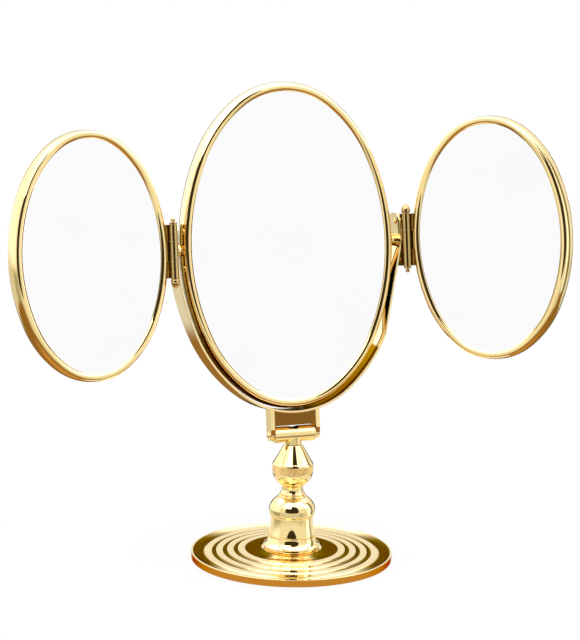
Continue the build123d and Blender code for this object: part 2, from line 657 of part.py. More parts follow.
def make_yoke():
    """Half-oval band with its studs and friction washers."""
    half = YOKE_DEPTH / 2
    ring = oval_plate(YOKE_OVAL, 0, -half, half) - oval_plate(YOKE_OVAL, -YOKE_THICKNESS, -half - 1, half + 1)
    wide = YOKE_HALF_WIDTH + 1
    low = -YOKE_HALF_HEIGHT - 1
    window = block(-wide, wide, -half, half, low, YOKE_END_RISE)
    top_edges = window.edges().filter_by(Axis.X).sort_by(Axis.Z)[-2:]
    window = fillet(top_edges, YOKE_END_CORNER)
    band = ring & window
    band -= rod(STUD_RADIUS, -wide, wide, "X")
    for z in (-RIVET_SPACING / 2, RIVET_SPACING / 2):
        band -= rod(RIVET_RADIUS + RIVET_FIT, -wide, wide, "X", (leaf_rivet_y(), z))
    for side in (-1, 1):
        x = side * BRACKET_SCREW_SPACING / 2
        crown = -yoke_inner_height(x)
        band -= rod(BRACKET_SCREW_RADIUS, crown - YOKE_THICKNESS - 3, crown + 1, at=(x, 0))
        sink = Cone(BRACKET_SCREW_RADIUS, BRACKET_HEAD_RADIUS, BRACKET_HEAD_HEIGHT)
        band -= Pos(x, 0, crown - BRACKET_HEAD_HEIGHT / 2) * sink
        band -= rod(BRACKET_HEAD_RADIUS, crown, crown + 1, at=(x, 0))
    save("yoke_band", mirror_place(band))
    studs = []
    washers = []
    inner = YOKE_HALF_WIDTH - YOKE_THICKNESS
    for side in (-1, 1):
        x0, x1 = sorted((side * (inner - STUD_LENGTH), side * (YOKE_HALF_WIDTH - SEAT_GAP)))
        studs.append(rod(STUD_RADIUS, x0, x1, "X"))
        w0, w1 = sorted((side * (inner - PIVOT_WASHER_THICKNESS), side * (inner - SEAT_GAP)))
        washer = rod(PIVOT_WASHER_RADIUS, w0, w1, "X")
        washer -= rod(STUD_RADIUS + STUD_FIT, w0 - 1, w1 + 1, "X")
        washers.append(washer)
    save("frame_pivot_studs", mirror_place(Compound(studs)))
    save("pivot_washers", mirror_place(Compound(washers)))


def leaf_rivet_y():
    """Depth of the rivets that hold a leaf on the yoke."""
    return PIN_Y + LEAF_RIVET_BACK


def knuckle_spans():
    """Lower and upper end of the three knuckles, from the bottom."""
    low = -HINGE_HEIGHT / 2
    first = (low, low + END_KNUCKLE)
    middle = (first[1], first[1] + MIDDLE_KNUCKLE)
    last = (middle[1], -low)
    gap = KNUCKLE_GAP / 2
    return [(first[0], first[1] - gap), (middle[0] + gap, middle[1] - gap), (last[0] + gap, last[1])]


def leaf_blank(thickness_from, thickness_to, knuckles):
    """Hinge leaf about its pin: plate running back along +Y, with its own knuckles."""
    x0, x1 = sorted((thickness_from, thickness_to))
    half = HINGE_HEIGHT / 2
    leaf = block(x0, x1, LEAF_NOTCH, LEAF_DEPTH, -half, half)
    for low, high in knuckles:
        leaf += rod(KNUCKLE_RADIUS, low, high)
        arm_outer = thickness_from if abs(thickness_from) < abs(thickness_to) else thickness_to
        a0, a1 = sorted((arm_outer, arm_outer + (1 if x1 > 0 else -1) * LEAF_THICKNESS))
        leaf += block(a0, a1, 0, LEAF_NOTCH + 1, low, high)
    return leaf


def make_yoke_hinge(name, side):
    """Leaf on one end of the yoke, and the pin with its two finials."""
    knuckles = knuckle_spans()
    near = -side * (PIN_OUT - LEAF_THICKNESS)
    far = -side * (PIN_OUT + LEAF_SEAT)
    leaf = Pos(side * PIN_X, PIN_Y, 0) * leaf_blank(near, far, (knuckles[0], knuckles[2]))
    half = YOKE_DEPTH / 2
    leaf -= oval_plate(YOKE_OVAL, 0, -half, half)
    bore = rod(PIN_RADIUS, -HINGE_HEIGHT, HINGE_HEIGHT, at=(side * PIN_X, PIN_Y))
    leaf -= bore
    reach = YOKE_HALF_WIDTH + PIN_OUT
    for z in (-RIVET_SPACING / 2, RIVET_SPACING / 2):
        leaf -= rod(RIVET_RADIUS + RIVET_FIT, -reach, reach, "X", (leaf_rivet_y(), z))
    save(f"{name}_yoke_leaf", mirror_place(leaf))
    save(f"{name}_hinge_pin", mirror_place(Pos(side * PIN_X, PIN_Y, 0) * make_pin(side)))


def make_pin(side):
    """Hinge pin with an acorn at one end and a ball at the other, turned over on the left."""
    half = HINGE_HEIGHT / 2
    lip = half + FINIAL_LIP
    acorn_low = half + FINIAL_COLLAR_HEIGHT
    acorn_top = half + ACORN_HEIGHT
    collar_end = -lip - FINIAL_COLLAR_HEIGHT
    neck_end = collar_end - FINIAL_NECK
    neck_radius = FINIAL_BALL_RADIUS * 0.6
    ball_centre = neck_end - FINIAL_BALL_RADIUS * 0.8
    ball_end = ball_centre - FINIAL_BALL_RADIUS
    pin = turned(
        Polyline(rz(0, acorn_top), rz(0, ball_end)),
        ThreePointArc(rz(0, ball_end), rz(FINIAL_BALL_RADIUS, ball_centre), rz(neck_radius, neck_end)),
        Polyline(
            rz(neck_radius, neck_end),
            rz(neck_radius, collar_end),
            rz(FINIAL_COLLAR_RADIUS, collar_end),
            rz(FINIAL_COLLAR_RADIUS, -lip),
            rz(KNUCKLE_RADIUS - FINIAL_LIP, -lip),
            rz(KNUCKLE_RADIUS - FINIAL_LIP, -half),
            rz(PIN_RADIUS, -half),
            rz(PIN_RADIUS, half),
            rz(KNUCKLE_RADIUS - FINIAL_LIP, half),
            rz(KNUCKLE_RADIUS - FINIAL_LIP, lip),
            rz(ACORN_RADIUS, acorn_low),
        ),
        Bezier(
            rz(ACORN_RADIUS, acorn_low),
            rz(ACORN_RADIUS * 1.1, half + ACORN_HEIGHT * 0.7),
            rz(ACORN_RADIUS * 0.4, half + ACORN_HEIGHT * 0.9),
            rz(0, acorn_top),
        ),
    )
    return pin if side > 0 else Rot(180, 0, 0) * pin


def make_yoke_rivets():
    """Four rivets through the yoke and its leaves."""
    rivets = []
    for side in (-1, 1):
        for z in (-RIVET_SPACING / 2, RIVET_SPACING / 2):
            outer = PIN_X - (PIN_OUT - LEAF_THICKNESS)
            inner = yoke_side(z) - YOKE_THICKNESS
            place = Pos(0, leaf_rivet_y(), z)
            x0, x1 = sorted((side * (inner - RIVET_HEAD_GAP), side * outer))
            rivet = rod(RIVET_RADIUS, x0, x1, "X")
            seat = inner - RIVET_HEAD_GAP
            dome = Pos(side * (seat - RIVET_HEAD_HEIGHT / 2), 0, 0) * Rot(0, -90 * side, 0) * rivet_head()
            rivets.append(place * (rivet + dome))
    save("yoke_leaf_rivets", mirror_place(Compound(rivets)))


def rivet_head():
    """Low head of a rivet, its narrow end up."""
    return Cone(RIVET_HEAD_RADIUS, RIVET_HEAD_RADIUS * 0.6, RIVET_HEAD_HEIGHT)


def yoke_side(z):
    """Distance of the yoke's outer face from its middle, at a height near mid-height."""
    (cx, _), radius, _, _ = YOKE_OVAL[0]
    return cx + sqrt(radius**2 - z**2)


def make_centre():
    """Centre mirror: wall, two bezels, two glasses, packing and pivot bushes."""
    half = CENTRE_DEPTH / 2
    seat = half - BEZEL_THICKNESS
    band = oval_ring(CENTRE_OVAL, band_section(CENTRE_DEPTH, CENTRE_BULGE))
    outer = CENTRE_HALF_WIDTH + CENTRE_BULGE
    inner = YOKE_HALF_WIDTH - YOKE_THICKNESS
    flange_out = inner - PIVOT_WASHER_THICKNESS - RUNNING_GAP
    band -= rod(PIVOT_BUSH_RADIUS, -outer - 1, outer + 1, "X")
    save("centre_band", mirror_place(band))
    save("centre_front_bezel", mirror_place(oval_ring(CENTRE_OVAL, bezel_section(CENTRE_DEPTH, -1))))
    save("centre_rear_bezel", mirror_place(oval_ring(CENTRE_OVAL, bezel_section(CENTRE_DEPTH, 1))))
    front = oval_plate(CENTRE_OVAL, -GLASS_INSET, -seat, -seat + GLASS_THICKNESS)
    save("centre_front_glass", mirror_place(front))
    rear = oval_plate(CENTRE_OVAL, -GLASS_INSET, seat - REAR_GLASS_THICKNESS, seat)
    lens_half = CENTRE_HALF_HEIGHT - BEZEL_WIDTH
    hollow_depth = REAR_GLASS_SPHERE - sqrt(REAR_GLASS_SPHERE**2 - lens_half**2)
    rear -= Pos(0, seat + REAR_GLASS_SPHERE - hollow_depth, 0) * Sphere(REAR_GLASS_SPHERE)
    save("centre_rear_glass", mirror_place(rear))
    packing = oval_plate(
        CENTRE_OVAL,
        -BAND_WALL - PACKING_GAP,
        -seat + GLASS_THICKNESS + SEAT_GAP,
        seat - REAR_GLASS_THICKNESS - SEAT_GAP,
    )
    bush_in = CENTRE_HALF_WIDTH - PIVOT_BUSH_LENGTH - BAND_WALL
    stud_in = inner - STUD_LENGTH
    notch = PIVOT_BUSH_RADIUS + SEAT_GAP
    bushes = []
    for side in (-1, 1):
        x0, x1 = sorted((side * (min(bush_in, stud_in) - 1), side * outer))
        packing -= block(x0, x1, -half, half, -notch, notch)
        b0, b1 = sorted((side * bush_in, side * flange_out))
        bush = rod(PIVOT_BUSH_RADIUS, b0, b1, "X")
        f0, f1 = sorted((side * outer, side * flange_out))
        bush += rod(PIVOT_FLANGE_RADIUS, f0, f1, "X")
        bush -= rod(STUD_RADIUS + STUD_FIT, b0 - 1, b1 + 1, "X")
        bushes.append(bush)
    save("centre_packing", mirror_place(packing))
    save("centre_pivot_bushes", mirror_place(Compound(bushes)))


def wing_place(shape, side, angle):
    """Turn a wing, drawn flat open on the right about its pin, to one side and fold it forward."""
    if side < 0:
        shape = mirror(shape, about=Plane.YZ)
    folded = Pos(side * PIN_X, PIN_Y, 0) * Rot(0, 0, -side * angle) * shape
    return mirror_place(folded)


def make_wing(name, side, angle):
    """Wing mirror with its hinge leaf, about the pin axis."""
    centre_x = WING_EDGE_OUT + WING_BULGE + WING_HALF_WIDTH
    middle = WING_FRONT_BACK + WING_DEPTH / 2
    half = WING_DEPTH / 2
    seat = half - BEZEL_THICKNESS
    place = Pos(centre_x, middle, 0)
    band = place * oval_ring(WING_OVAL, band_section(WING_DEPTH, WING_BULGE))
    knuckle = knuckle_spans()[1]
    near = WING_EDGE_OUT - LEAF_THICKNESS
    leaf = leaf_blank(near, WING_EDGE_OUT + LEAF_SEAT, (knuckle,))
    outside = place * oval_plate(WING_OVAL, 0, -half, half)
    leaf -= outside
    leaf -= band
    leaf -= rod(PIN_RADIUS + PIN_FIT, -HINGE_HEIGHT, HINGE_HEIGHT)
    rivets = []
    (arc_x, _), arc_radius, _, _ = WING_OVAL[0]
    for z in (-WING_RIVET_SPACING / 2, WING_RIVET_SPACING / 2):
        wall = centre_x - arc_x - sqrt(arc_radius**2 - z**2)
        seat_x = wall + BAND_WALL + RIVET_HEAD_GAP
        hole = rod(RIVET_RADIUS + RIVET_FIT, 0, seat_x + 1, "X", (LEAF_RIVET_BACK, z))
        leaf -= hole
        band -= hole
        rivet = rod(RIVET_RADIUS, near, seat_x, "X", (LEAF_RIVET_BACK, z))
        rivet += Pos(seat_x + RIVET_HEAD_HEIGHT / 2, LEAF_RIVET_BACK, z) * Rot(0, 90, 0) * rivet_head()
        rivets.append(rivet)
    front_bezel = place * oval_ring(WING_OVAL, bezel_section(WING_DEPTH, -1))
    glass = place * oval_plate(WING_OVAL, -GLASS_INSET, -seat, -seat + GLASS_THICKNESS)
    packing = place * oval_plate(
        WING_OVAL,
        -BAND_WALL - PACKING_GAP,
        -seat + GLASS_THICKNESS + SEAT_GAP,
        seat - SEAT_GAP,
    )
    back = place * oval_plate(WING_OVAL, 0, seat, seat + BACK_THICKNESS)
    bead = place * (
        oval_plate(WING_OVAL, 0, seat, seat + BACK_THICKNESS + BACK_BEAD_HEIGHT)
        - oval_plate(WING_OVAL, -BACK_BEAD_WIDTH, seat - 1, half + 1)
    )
    pieces = {
        "band": band,
        "bezel": front_bezel,
        "glass": glass,
        "packing": packing,
        "back": back + bead,
        "leaf": leaf,
        "rivets": Compound(rivets),
    }
    for piece, shape in pieces.items():
        save(f"{name}_wing_{piece}", wing_place(shape, side, angle))


make_base()
make_column()
make_collar()
make_stem()
make_barrel()
make_bracket()
make_yoke()
make_yoke_hinge("left", -1)
make_yoke_hinge("right", 1)
make_yoke_rivets()
make_centre()
make_wing("left", -1, LEFT_WING_ANGLE)
make_wing("right", 1, RIGHT_WING_ANGLE)
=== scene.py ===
import json
from math import asin, cos, pi, radians, sin, sqrt, tau

import bpy
from mathutils import Matrix, Vector


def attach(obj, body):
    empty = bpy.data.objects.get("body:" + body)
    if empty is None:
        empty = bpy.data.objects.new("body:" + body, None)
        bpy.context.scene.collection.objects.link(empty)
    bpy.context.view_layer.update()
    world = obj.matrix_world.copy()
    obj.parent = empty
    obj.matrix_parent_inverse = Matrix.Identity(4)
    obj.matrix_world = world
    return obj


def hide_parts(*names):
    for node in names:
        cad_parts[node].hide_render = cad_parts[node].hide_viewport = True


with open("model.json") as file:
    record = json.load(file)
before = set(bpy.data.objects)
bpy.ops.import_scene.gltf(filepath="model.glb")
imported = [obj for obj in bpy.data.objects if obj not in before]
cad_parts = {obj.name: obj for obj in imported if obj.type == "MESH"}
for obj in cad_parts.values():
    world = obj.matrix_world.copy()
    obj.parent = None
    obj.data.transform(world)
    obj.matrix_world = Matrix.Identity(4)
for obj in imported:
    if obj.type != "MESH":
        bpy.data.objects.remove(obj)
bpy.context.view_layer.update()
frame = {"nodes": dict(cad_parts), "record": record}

# Sizes in millimetres, as in the solids. A mesh is turned to metres when it is made.
MM = 0.001

BASE_RADIUS = 90.0
BASE_BOTTOM = 0.5
BASE_EDGE_TOP = 7.0
BASE_INNER_RADIUS = 85.6
UNDERSIDE_TOP = 8.4
UNDERSIDE_MIDDLE = 4.4
UNDERSIDE_BOTTOM = 3.5
WEIGHT_BORE = 18.0
WEIGHT_STEP_RADIUS = 46.0
WEIGHT_RADIUS = 78.0
RIM_WIDTH = 1.4
COVE_WIDTH = 11.0
COVE_SHARE = 0.55
RING_COUNT = 4
RING_FLAT = 6.2
RING_GROOVE = 3.6
RING_GROOVE_DEPTH = 0.9
RING_FIRST_TOP = 6.0
RING_STEP = 0.9
CENTRE_TOP = 10.0
CENTRE_RADIUS = 27.0
WELL_DEPTH = 0.8
TUBE_RADIUS = 7.05
FOOT_RADIUS = 25.5
FOOT_NECK_RADIUS = 20.6
FOOT_TOP = 23.0
FOOT_BEAD_HEIGHT = 3.5
FOOT_BEAD_INSET = 1.0
FOOT_BEAD_ROUND = 1.5
FOOT_GROOVE = 0.6
FOOT_LIP = 0.4
FOOT_FLARE = 1.1
FOOT_FLARE_SHARE = 0.42
SLEEVE_BORE = 16.5
SLEEVE_BOTTOM_RADIUS = 20.4
SLEEVE_WAIST_RADIUS = 19.35
SLEEVE_TOP_RADIUS = 18.9
SLEEVE_HEIGHT = 16.5
SLEEVE_HOLLOW_SHARE = 0.55
SLEEVE_TOP = 39.5
CAP_RADIUS = 20.7
CAP_SIDE_HEIGHT = 7.0
CAP_TOP = 57.5
CAP_TOP_RADIUS = 12.0
CAP_STEP = 0.9
CAP_STEP_HEIGHT = 1.4
CAP_DOME_INSET = 2.9
CAP_DOME_SHARE = 0.6
CAP_WALL = 2.6
NECK_TOP = 67.7
NECK_RING_RADIUS = 12.4
NECK_RING_HEIGHT = 1.8
NECK_WAIST_RADIUS = 9.4
NECK_ROUND = 0.6
NECK_RING_OUT = 1.9
NECK_RING_EDGE = 1.1
NECK_RING_RISE = 0.3
NECK_TOP_OUT = 0.55
TUBE_IN_NECK = 7.9
COLLET_RADIUS = 7.6
COLLET_TIP_RADIUS = 6.6
COLLET_TIP_HEIGHT = 6.0
COLLET_HEIGHT = 27.0
COLLAR_RADIUS = 18.2
COLLAR_BOTTOM = 68.0
COLLAR_FOOT_RADIUS = 10.4
COLLAR_TOP_RADIUS = 8.0
COLLAR_BORE = 5.3
COLLAR_SKIRT_BORE = 7.9
COLLAR_BULB_HEIGHT = 12.0
COLLAR_BULB_INSET = 2.5
COLLAR_BULB_SHARE = 0.45
COLLAR_SHOULDER_HEIGHT = 2.8
COLLAR_SHOULDER_INSET = 1.4
COLLAR_SHOULDER_ROUND = 0.47
KNURL_BOTTOM = 80.0
KNURL_TOP = 87.3
COLLAR_TOP = 105.5
KNURL_COUNT = 76
KNURL_DEPTH = 0.45
KNURL_FADE = 0.5
KNURL_ROWS = 48
STEM_RADIUS = 5.0
STEM_FIT = 0.06

PIVOT_HEIGHT = 115.0
HEAD_TILT = 9.0
MIRROR_RISE = 168.0
CENTRE_SIZE = (97.2, 142.5)
CENTRE_DEPTH = 21.0
CENTRE_BULGE = 2.4
WING_SIZE = (74.0, 107.0)
WING_DEPTH = 18.0
WING_BULGE = 1.0
WALL = 1.3
BEZEL_WIDTH = 6.2
BEZEL_THICKNESS = 2.2
BEZEL_CREST = 2.6
BEZEL_OUTER_HEIGHT = 1.1
BEZEL_INNER_HEIGHT = 0.6
GLASS_THICKNESS = 3.0
GLASS_INSET = 1.6
REAR_GLASS_THICKNESS = 4.0
REAR_GLASS_SPHERE = 7000.0
BACK_THICKNESS = 0.8
BACK_BEAD_WIDTH = 4.0
BACK_BEAD_HEIGHT = 1.2
BACK_BEAD_CREST = 0.4
PLATE_EDGE = 8.0
YOKE_SIZE = (106.4, 148.4)
YOKE_THICKNESS = 2.0
YOKE_DEPTH = 25.0
YOKE_RISE = 24.0
YOKE_CORNER = 8.0
YOKE_SIDE_STEPS = 8
PIN_X = 109.3
PIN_Y = -15.3
PIN_RADIUS = 1.6
HINGE_HEIGHT = 46.5
ACORN_RADIUS = 3.9
ACORN_HEIGHT = 9.0
ACORN_BOTTOM = 1.6
PIN_LIP_RADIUS = 2.9
PIN_LIP_HEIGHT = 0.6
PIN_DISC_RADIUS = 3.3
PIN_DISC_HEIGHT = 1.6
FINIAL_NECK_RADIUS = 1.14
FINIAL_NECK_HEIGHT = 0.5
FINIAL_BALL_RADIUS = 1.9
FINIAL_BALL_SHARE = 0.8
WING_EDGE_OUT = 3.0
WING_FRONT_BACK = 3.3
LEFT_WING_ANGLE = 13.5
RIGHT_WING_ANGLE = 48.0
OVAL_SIDE_SHARE = 0.955
OVAL_SIDE_ANGLE = 24.0
OVAL_TOP_ANGLE = 52.0

HEAD_TURN = Matrix.Rotation(radians(-HEAD_TILT), 4, "X")
HEAD = Matrix.Translation((0, 0, PIVOT_HEIGHT)) @ HEAD_TURN
MIRROR = HEAD @ Matrix.Translation((0, 0, MIRROR_RISE))


# Materials

class Sums:
    """Short way to write sums of nodes."""

    def __init__(self, tree):
        self.tree = tree

    def do(self, operation, a, b=0.0, c=0.0):
        node = self.tree.nodes.new("ShaderNodeMath")
        node.operation = operation
        for socket, value in zip(node.inputs, (a, b, c)):
            if isinstance(value, (int, float)):
                socket.default_value = value
            else:
                self.tree.links.new(value, socket)
        return node.outputs[0]

    def dot(self, vector, fixed):
        node = self.tree.nodes.new("ShaderNodeVectorMath")
        node.operation = "DOT_PRODUCT"
        self.tree.links.new(vector, node.inputs[0])
        node.inputs[1].default_value = fixed
        return node.outputs["Value"]

    def axes(self, vector):
        node = self.tree.nodes.new("ShaderNodeSeparateXYZ")
        self.tree.links.new(vector, node.inputs[0])
        return node.outputs

    def step(self, value, start, end):
        node = self.tree.nodes.new("ShaderNodeMapRange")
        node.interpolation_type = "SMOOTHSTEP"
        self.tree.links.new(value, node.inputs["Value"])
        node.inputs["From Min"].default_value = start
        node.inputs["From Max"].default_value = end
        return node.outputs["Result"]

    def mix(self, factor, first, second):
        node = self.tree.nodes.new("ShaderNodeMix")
        node.data_type = "RGBA"
        self.tree.links.new(factor, node.inputs["Factor"])
        for name, value in (("A", first), ("B", second)):
            if isinstance(value, tuple):
                node.inputs[name].default_value = (*value, 1)
            else:
                self.tree.links.new(value, node.inputs[name])
        return node.outputs["Result"]


def node_material(name):
    """New material with its tree, its shader and a position that stays on the object."""
    material = bpy.data.materials.new(name)
    material.use_nodes = True
    tree = material.node_tree
    shader = tree.nodes["Principled BSDF"]
    place = tree.nodes.new("ShaderNodeTexCoord").outputs["Object"]
    return material, tree, shader, place


def noise(tree, place, scale, detail=3.0, stretch=None):
    """Noise value at a scale, drawn out along an axis if asked."""
    node = tree.nodes.new("ShaderNodeTexNoise")
    node.inputs["Scale"].default_value = scale
    node.inputs["Detail"].default_value = detail
    if stretch:
        mapping = tree.nodes.new("ShaderNodeMapping")
        mapping.inputs["Scale"].default_value = stretch
        tree.links.new(place, mapping.inputs["Vector"])
        place = mapping.outputs["Vector"]
    tree.links.new(place, node.inputs["Vector"])
    return node.outputs["Fac"]


def ranged(tree, value, low, high, start=0.35, end=0.65):
    """Value carried from one range to another."""
    node = tree.nodes.new("ShaderNodeMapRange")
    node.inputs["From Min"].default_value = start
    node.inputs["From Max"].default_value = end
    node.inputs["To Min"].default_value = low
    node.inputs["To Max"].default_value = high
    tree.links.new(value, node.inputs["Value"])
    return node.outputs["Result"]


def blended(tree, value, first, second):
    """Colour between two by a value."""
    node = tree.nodes.new("ShaderNodeMix")
    node.data_type = "RGBA"
    node.inputs["A"].default_value = (*first, 1)
    node.inputs["B"].default_value = (*second, 1)
    tree.links.new(value, node.inputs["Factor"])
    return node.outputs["Result"]


def bumped(tree, shader, value, strength, distance):
    """Fine relief from a value."""
    node = tree.nodes.new("ShaderNodeBump")
    node.inputs["Strength"].default_value = strength
    node.inputs["Distance"].default_value = distance
    tree.links.new(value, node.inputs["Height"])
    tree.links.new(node.outputs["Normal"], shader.inputs["Normal"])


def make_brass(name, light, dark, polish=0.03, haze=0.07, shade_painter=None):
    """Polished brass: faint clouding, hairline scratches and soft hand marks.

    The last argument, if given, is a function (sums, place, colour) that paints shade: it gives
    the colour and the tint of the reflections where shade is painted.
    """
    material, tree, shader, place = node_material(name)
    shader.inputs["Metallic"].default_value = 1.0
    cloud = noise(tree, place, scale=35.0, detail=4.0)
    colour = blended(tree, ranged(tree, cloud, 0, 1), light, dark)
    if shade_painter:
        colour, edge = shade_painter(Sums(tree), place, colour)
        if isinstance(edge, tuple):
            shader.inputs["Specular Tint"].default_value = (*edge, 1)
        else:
            tree.links.new(edge, shader.inputs["Specular Tint"])
    tree.links.new(colour, shader.inputs["Base Color"])
    marks = noise(tree, place, scale=90.0, detail=6.0)
    tree.links.new(ranged(tree, marks, polish, haze), shader.inputs["Roughness"])
    scratches = noise(tree, place, scale=2600.0, detail=2.0, stretch=(1.0, 1.0, 0.06))
    bumped(tree, shader, scratches, strength=0.02, distance=0.00002)
    return material


def from_axis(sums, x, y):
    """Distance from the vertical axis."""
    return sums.do("SQRT", sums.do("ADD", sums.do("MULTIPLY", x, x), sums.do("MULTIPLY", y, y)))


def paint_base_shade(sums, place, colour):
    """Painted shade on the base, in its grooves and at both ends of its cove, and a painted warm
    reflection down its edge.

    The grooves and the cove are darkened by their direction from the camera, as painted
    reflections. Only the edge is darkened alike all round.
    """
    x, y, z = sums.axes(place)
    radius = from_axis(sums, x, y)
    aside = sums.do("DIVIDE", sums.do("ABSOLUTE", sums.dot(place, BASE_SIDEWAYS)), radius)
    towards = sums.do("DIVIDE", sums.dot(place, BASE_FORWARD), radius)
    near = sums.step(towards, *GROOVES_CLEAR_AHEAD)
    soft = PAINTED_SHADE_SOFT * MM
    total = 0.0
    for inner, outer, share in PAINTED_GROOVE_RINGS:
        start = sums.step(radius, inner * MM - soft, inner * MM + soft)
        end = sums.step(radius, outer * MM + soft, outer * MM - soft)
        total = sums.do("ADD", total, sums.do("MULTIPLY", sums.do("MULTIPLY", start, end), share))
    # Painted shade in the grooves, fading out where they face the camera.
    painted_dark = sums.do("MULTIPLY", total, near)
    # Painted shade in the cove, only at its two ends, sideways from the camera.
    cove_in = (BASE_RADIUS - RIM_WIDTH - COVE_WIDTH) * MM
    cove_out = (BASE_RADIUS - RIM_WIDTH) * MM
    cove_start = sums.step(radius, cove_in, cove_in + COVE_FADE * MM)
    cove_end = sums.step(radius, cove_out, cove_out - soft)
    cove = sums.do("MULTIPLY", cove_start, cove_end)
    cove = sums.do("MULTIPLY", cove, sums.step(aside, *COVE_DARK_ASIDE))
    painted_dark = sums.do("MAXIMUM", painted_dark, sums.do("MULTIPLY", cove, COVE_DARKNESS))
    # Painted warm reflection down the outer edge, alike all round.
    below = sums.step(z, EDGE_UNDER[0] * MM, EDGE_UNDER[1] * MM)
    outside = sums.step(radius, EDGE_BEYOND[0] * MM, EDGE_BEYOND[1] * MM)
    edge = sums.do("MULTIPLY", below, outside)
    # Reflections are tinted darker where shade or the edge reflection is painted.
    reflection_tint = sums.mix(edge, sums.mix(painted_dark, WHITE, PAINTED_SHADE_TINT), PAINTED_EDGE_REFLECTION)
    return sums.mix(edge, sums.mix(painted_dark, colour, PAINTED_GROOVE_SHADE), PAINTED_EDGE_REFLECTION), reflection_tint


def lower_part(sums, place):
    """One below a sloping line across the centre mirror, and nothing above it."""
    x, _, z = sums.axes(place)
    height = sums.do("ADD", z, sums.do("MULTIPLY", x, LOWER_SLOPE))
    return sums.step(height, LOWER_LINE[0] * MM, LOWER_LINE[1] * MM)


def paint_yoke_shade(sums, place, colour):
    """Painted shade on the lower part of the yoke's inner face."""
    x, _, z = sums.axes(place)
    nx, _, nz = sums.axes(sums.tree.nodes.new("ShaderNodeTexCoord").outputs["Normal"])
    rise = sums.do("SUBTRACT", z, MIRROR.translation.z * MM)
    facing = sums.do("ADD", sums.do("MULTIPLY", x, nx), sums.do("MULTIPLY", rise, nz))
    inside = sums.do("MULTIPLY", sums.step(facing, *INWARD), lower_part(sums, place))
    return sums.mix(inside, colour, PAINTED_YOKE_SHADE), sums.mix(inside, WHITE, PAINTED_SHADE_TINT)


def paint_knurl_shade(sums, place, colour):
    """Painted shade all over the collar's knurled band."""
    _, _, z = sums.axes(place)
    low = sums.step(z, KNURL_BOTTOM * MM, (KNURL_BOTTOM + PAINTED_SHADE_SOFT) * MM)
    high = sums.step(z, KNURL_TOP * MM, (KNURL_TOP - PAINTED_SHADE_SOFT) * MM)
    inside = sums.do("MULTIPLY", low, high)
    return sums.mix(inside, colour, PAINTED_KNURL_SHADE), WHITE


def paint_web_shade(sums, place, colour):
    """Painted shade on the front of the clevis web."""
    x, y, z = sums.axes(place)
    tilt = radians(HEAD_TILT)
    raised = sums.do("MULTIPLY", sums.do("SUBTRACT", z, PIVOT_HEIGHT * MM), sin(tilt))
    depth = sums.do("SUBTRACT", sums.do("MULTIPLY", y, cos(tilt)), raised)
    between = sums.step(sums.do("ABSOLUTE", x), WEB_SIDES[0] * MM, WEB_SIDES[1] * MM)
    front = sums.step(depth, WEB_FRONT[0] * MM, WEB_FRONT[1] * MM)
    inside = sums.do("MULTIPLY", between, front)
    return sums.mix(inside, colour, PAINTED_WEB_SHADE), sums.mix(inside, WHITE, PAINTED_SHADE_TINT)


def make_mirror():
    """Silvered glass with a breath of haze."""
    material, tree, shader, place = node_material("mirror_glass")
    shader.inputs["Metallic"].default_value = 1.0
    cloud = noise(tree, place, scale=12.0, detail=2.0)
    tint = blended(tree, ranged(tree, cloud, 0, 1), (0.945, 0.945, 0.948), (0.935, 0.935, 0.94))
    tree.links.new(tint, shader.inputs["Base Color"])
    haze = ranged(tree, noise(tree, place, scale=25.0), 0.0, 0.012)
    tree.links.new(haze, shader.inputs["Roughness"])
    return material


def make_plain(name, first, second, scale, low, high, relief, metallic=0.0):
    """Plain hard finish with grain in its colour, roughness and relief."""
    material, tree, shader, place = node_material(name)
    shader.inputs["Metallic"].default_value = metallic
    grain = noise(tree, place, scale, detail=5.0)
    tone = blended(tree, ranged(tree, grain, 0, 1), first, second)
    tree.links.new(tone, shader.inputs["Base Color"])
    tree.links.new(ranged(tree, grain, low, high), shader.inputs["Roughness"])
    bumped(tree, shader, grain, relief, distance=0.0003)
    return material


def make_felt():
    """Pressed wool: matted fibres with a soft sheen."""
    material, tree, shader, place = node_material("felt")
    fibres = noise(tree, place, scale=1500.0, detail=8.0)
    tone = blended(tree, ranged(tree, fibres, 0, 1), (0.035, 0.085, 0.05), (0.07, 0.15, 0.09))
    tree.links.new(tone, shader.inputs["Base Color"])
    shader.inputs["Roughness"].default_value = 0.95
    shader.inputs["Sheen Weight"].default_value = 0.4
    bumped(tree, shader, fibres, strength=0.8, distance=0.0006)
    return material


WHITE = (1.0, 1.0, 1.0)

# Directions level across and straight at the camera. The painted shade of the base uses them.
BASE_SIDEWAYS = (0.937, -0.350, 0.0)
BASE_FORWARD = (-0.350, -0.937, 0.0)
GROOVES_CLEAR_AHEAD = (0.97, 0.75)
COVE_DARK_ASIDE = (0.62, 0.92)

# Where shade is painted on pieces. Pairs are the start and end of a fade, in millimetres.
PAINTED_GROOVE_RINGS = ((27.0, 41.8, 0.9), (48.2, 52.0, 0.88), (58.0, 61.8, 0.88), (67.8, 71.6, 0.88))
PAINTED_SHADE_SOFT = 0.4
COVE_FADE = 2.0
COVE_DARKNESS = 0.9
EDGE_UNDER = (6.8, 6.2)
EDGE_BEYOND = (88.5, 89.2)
LOWER_SLOPE = 0.1
LOWER_LINE = (198.5, 195.5)
INWARD = (-0.03, -0.05)
WEB_SIDES = (20.0, 19.0)
WEB_FRONT = (-6.0, -6.3)
# Colours of the painted shade and of the painted edge reflection, and the tint of reflections
# where they are painted.
PAINTED_GROOVE_SHADE = (0.15, 0.092, 0.02)
PAINTED_SHADE_TINT = (0.35, 0.24, 0.07)
PAINTED_YOKE_SHADE = (0.52, 0.32, 0.11)
PAINTED_KNURL_SHADE = (0.74, 0.53, 0.21)
PAINTED_EDGE_REFLECTION = (0.55, 0.22, 0.025)
PAINTED_WEB_SHADE = (0.22, 0.10, 0.015)

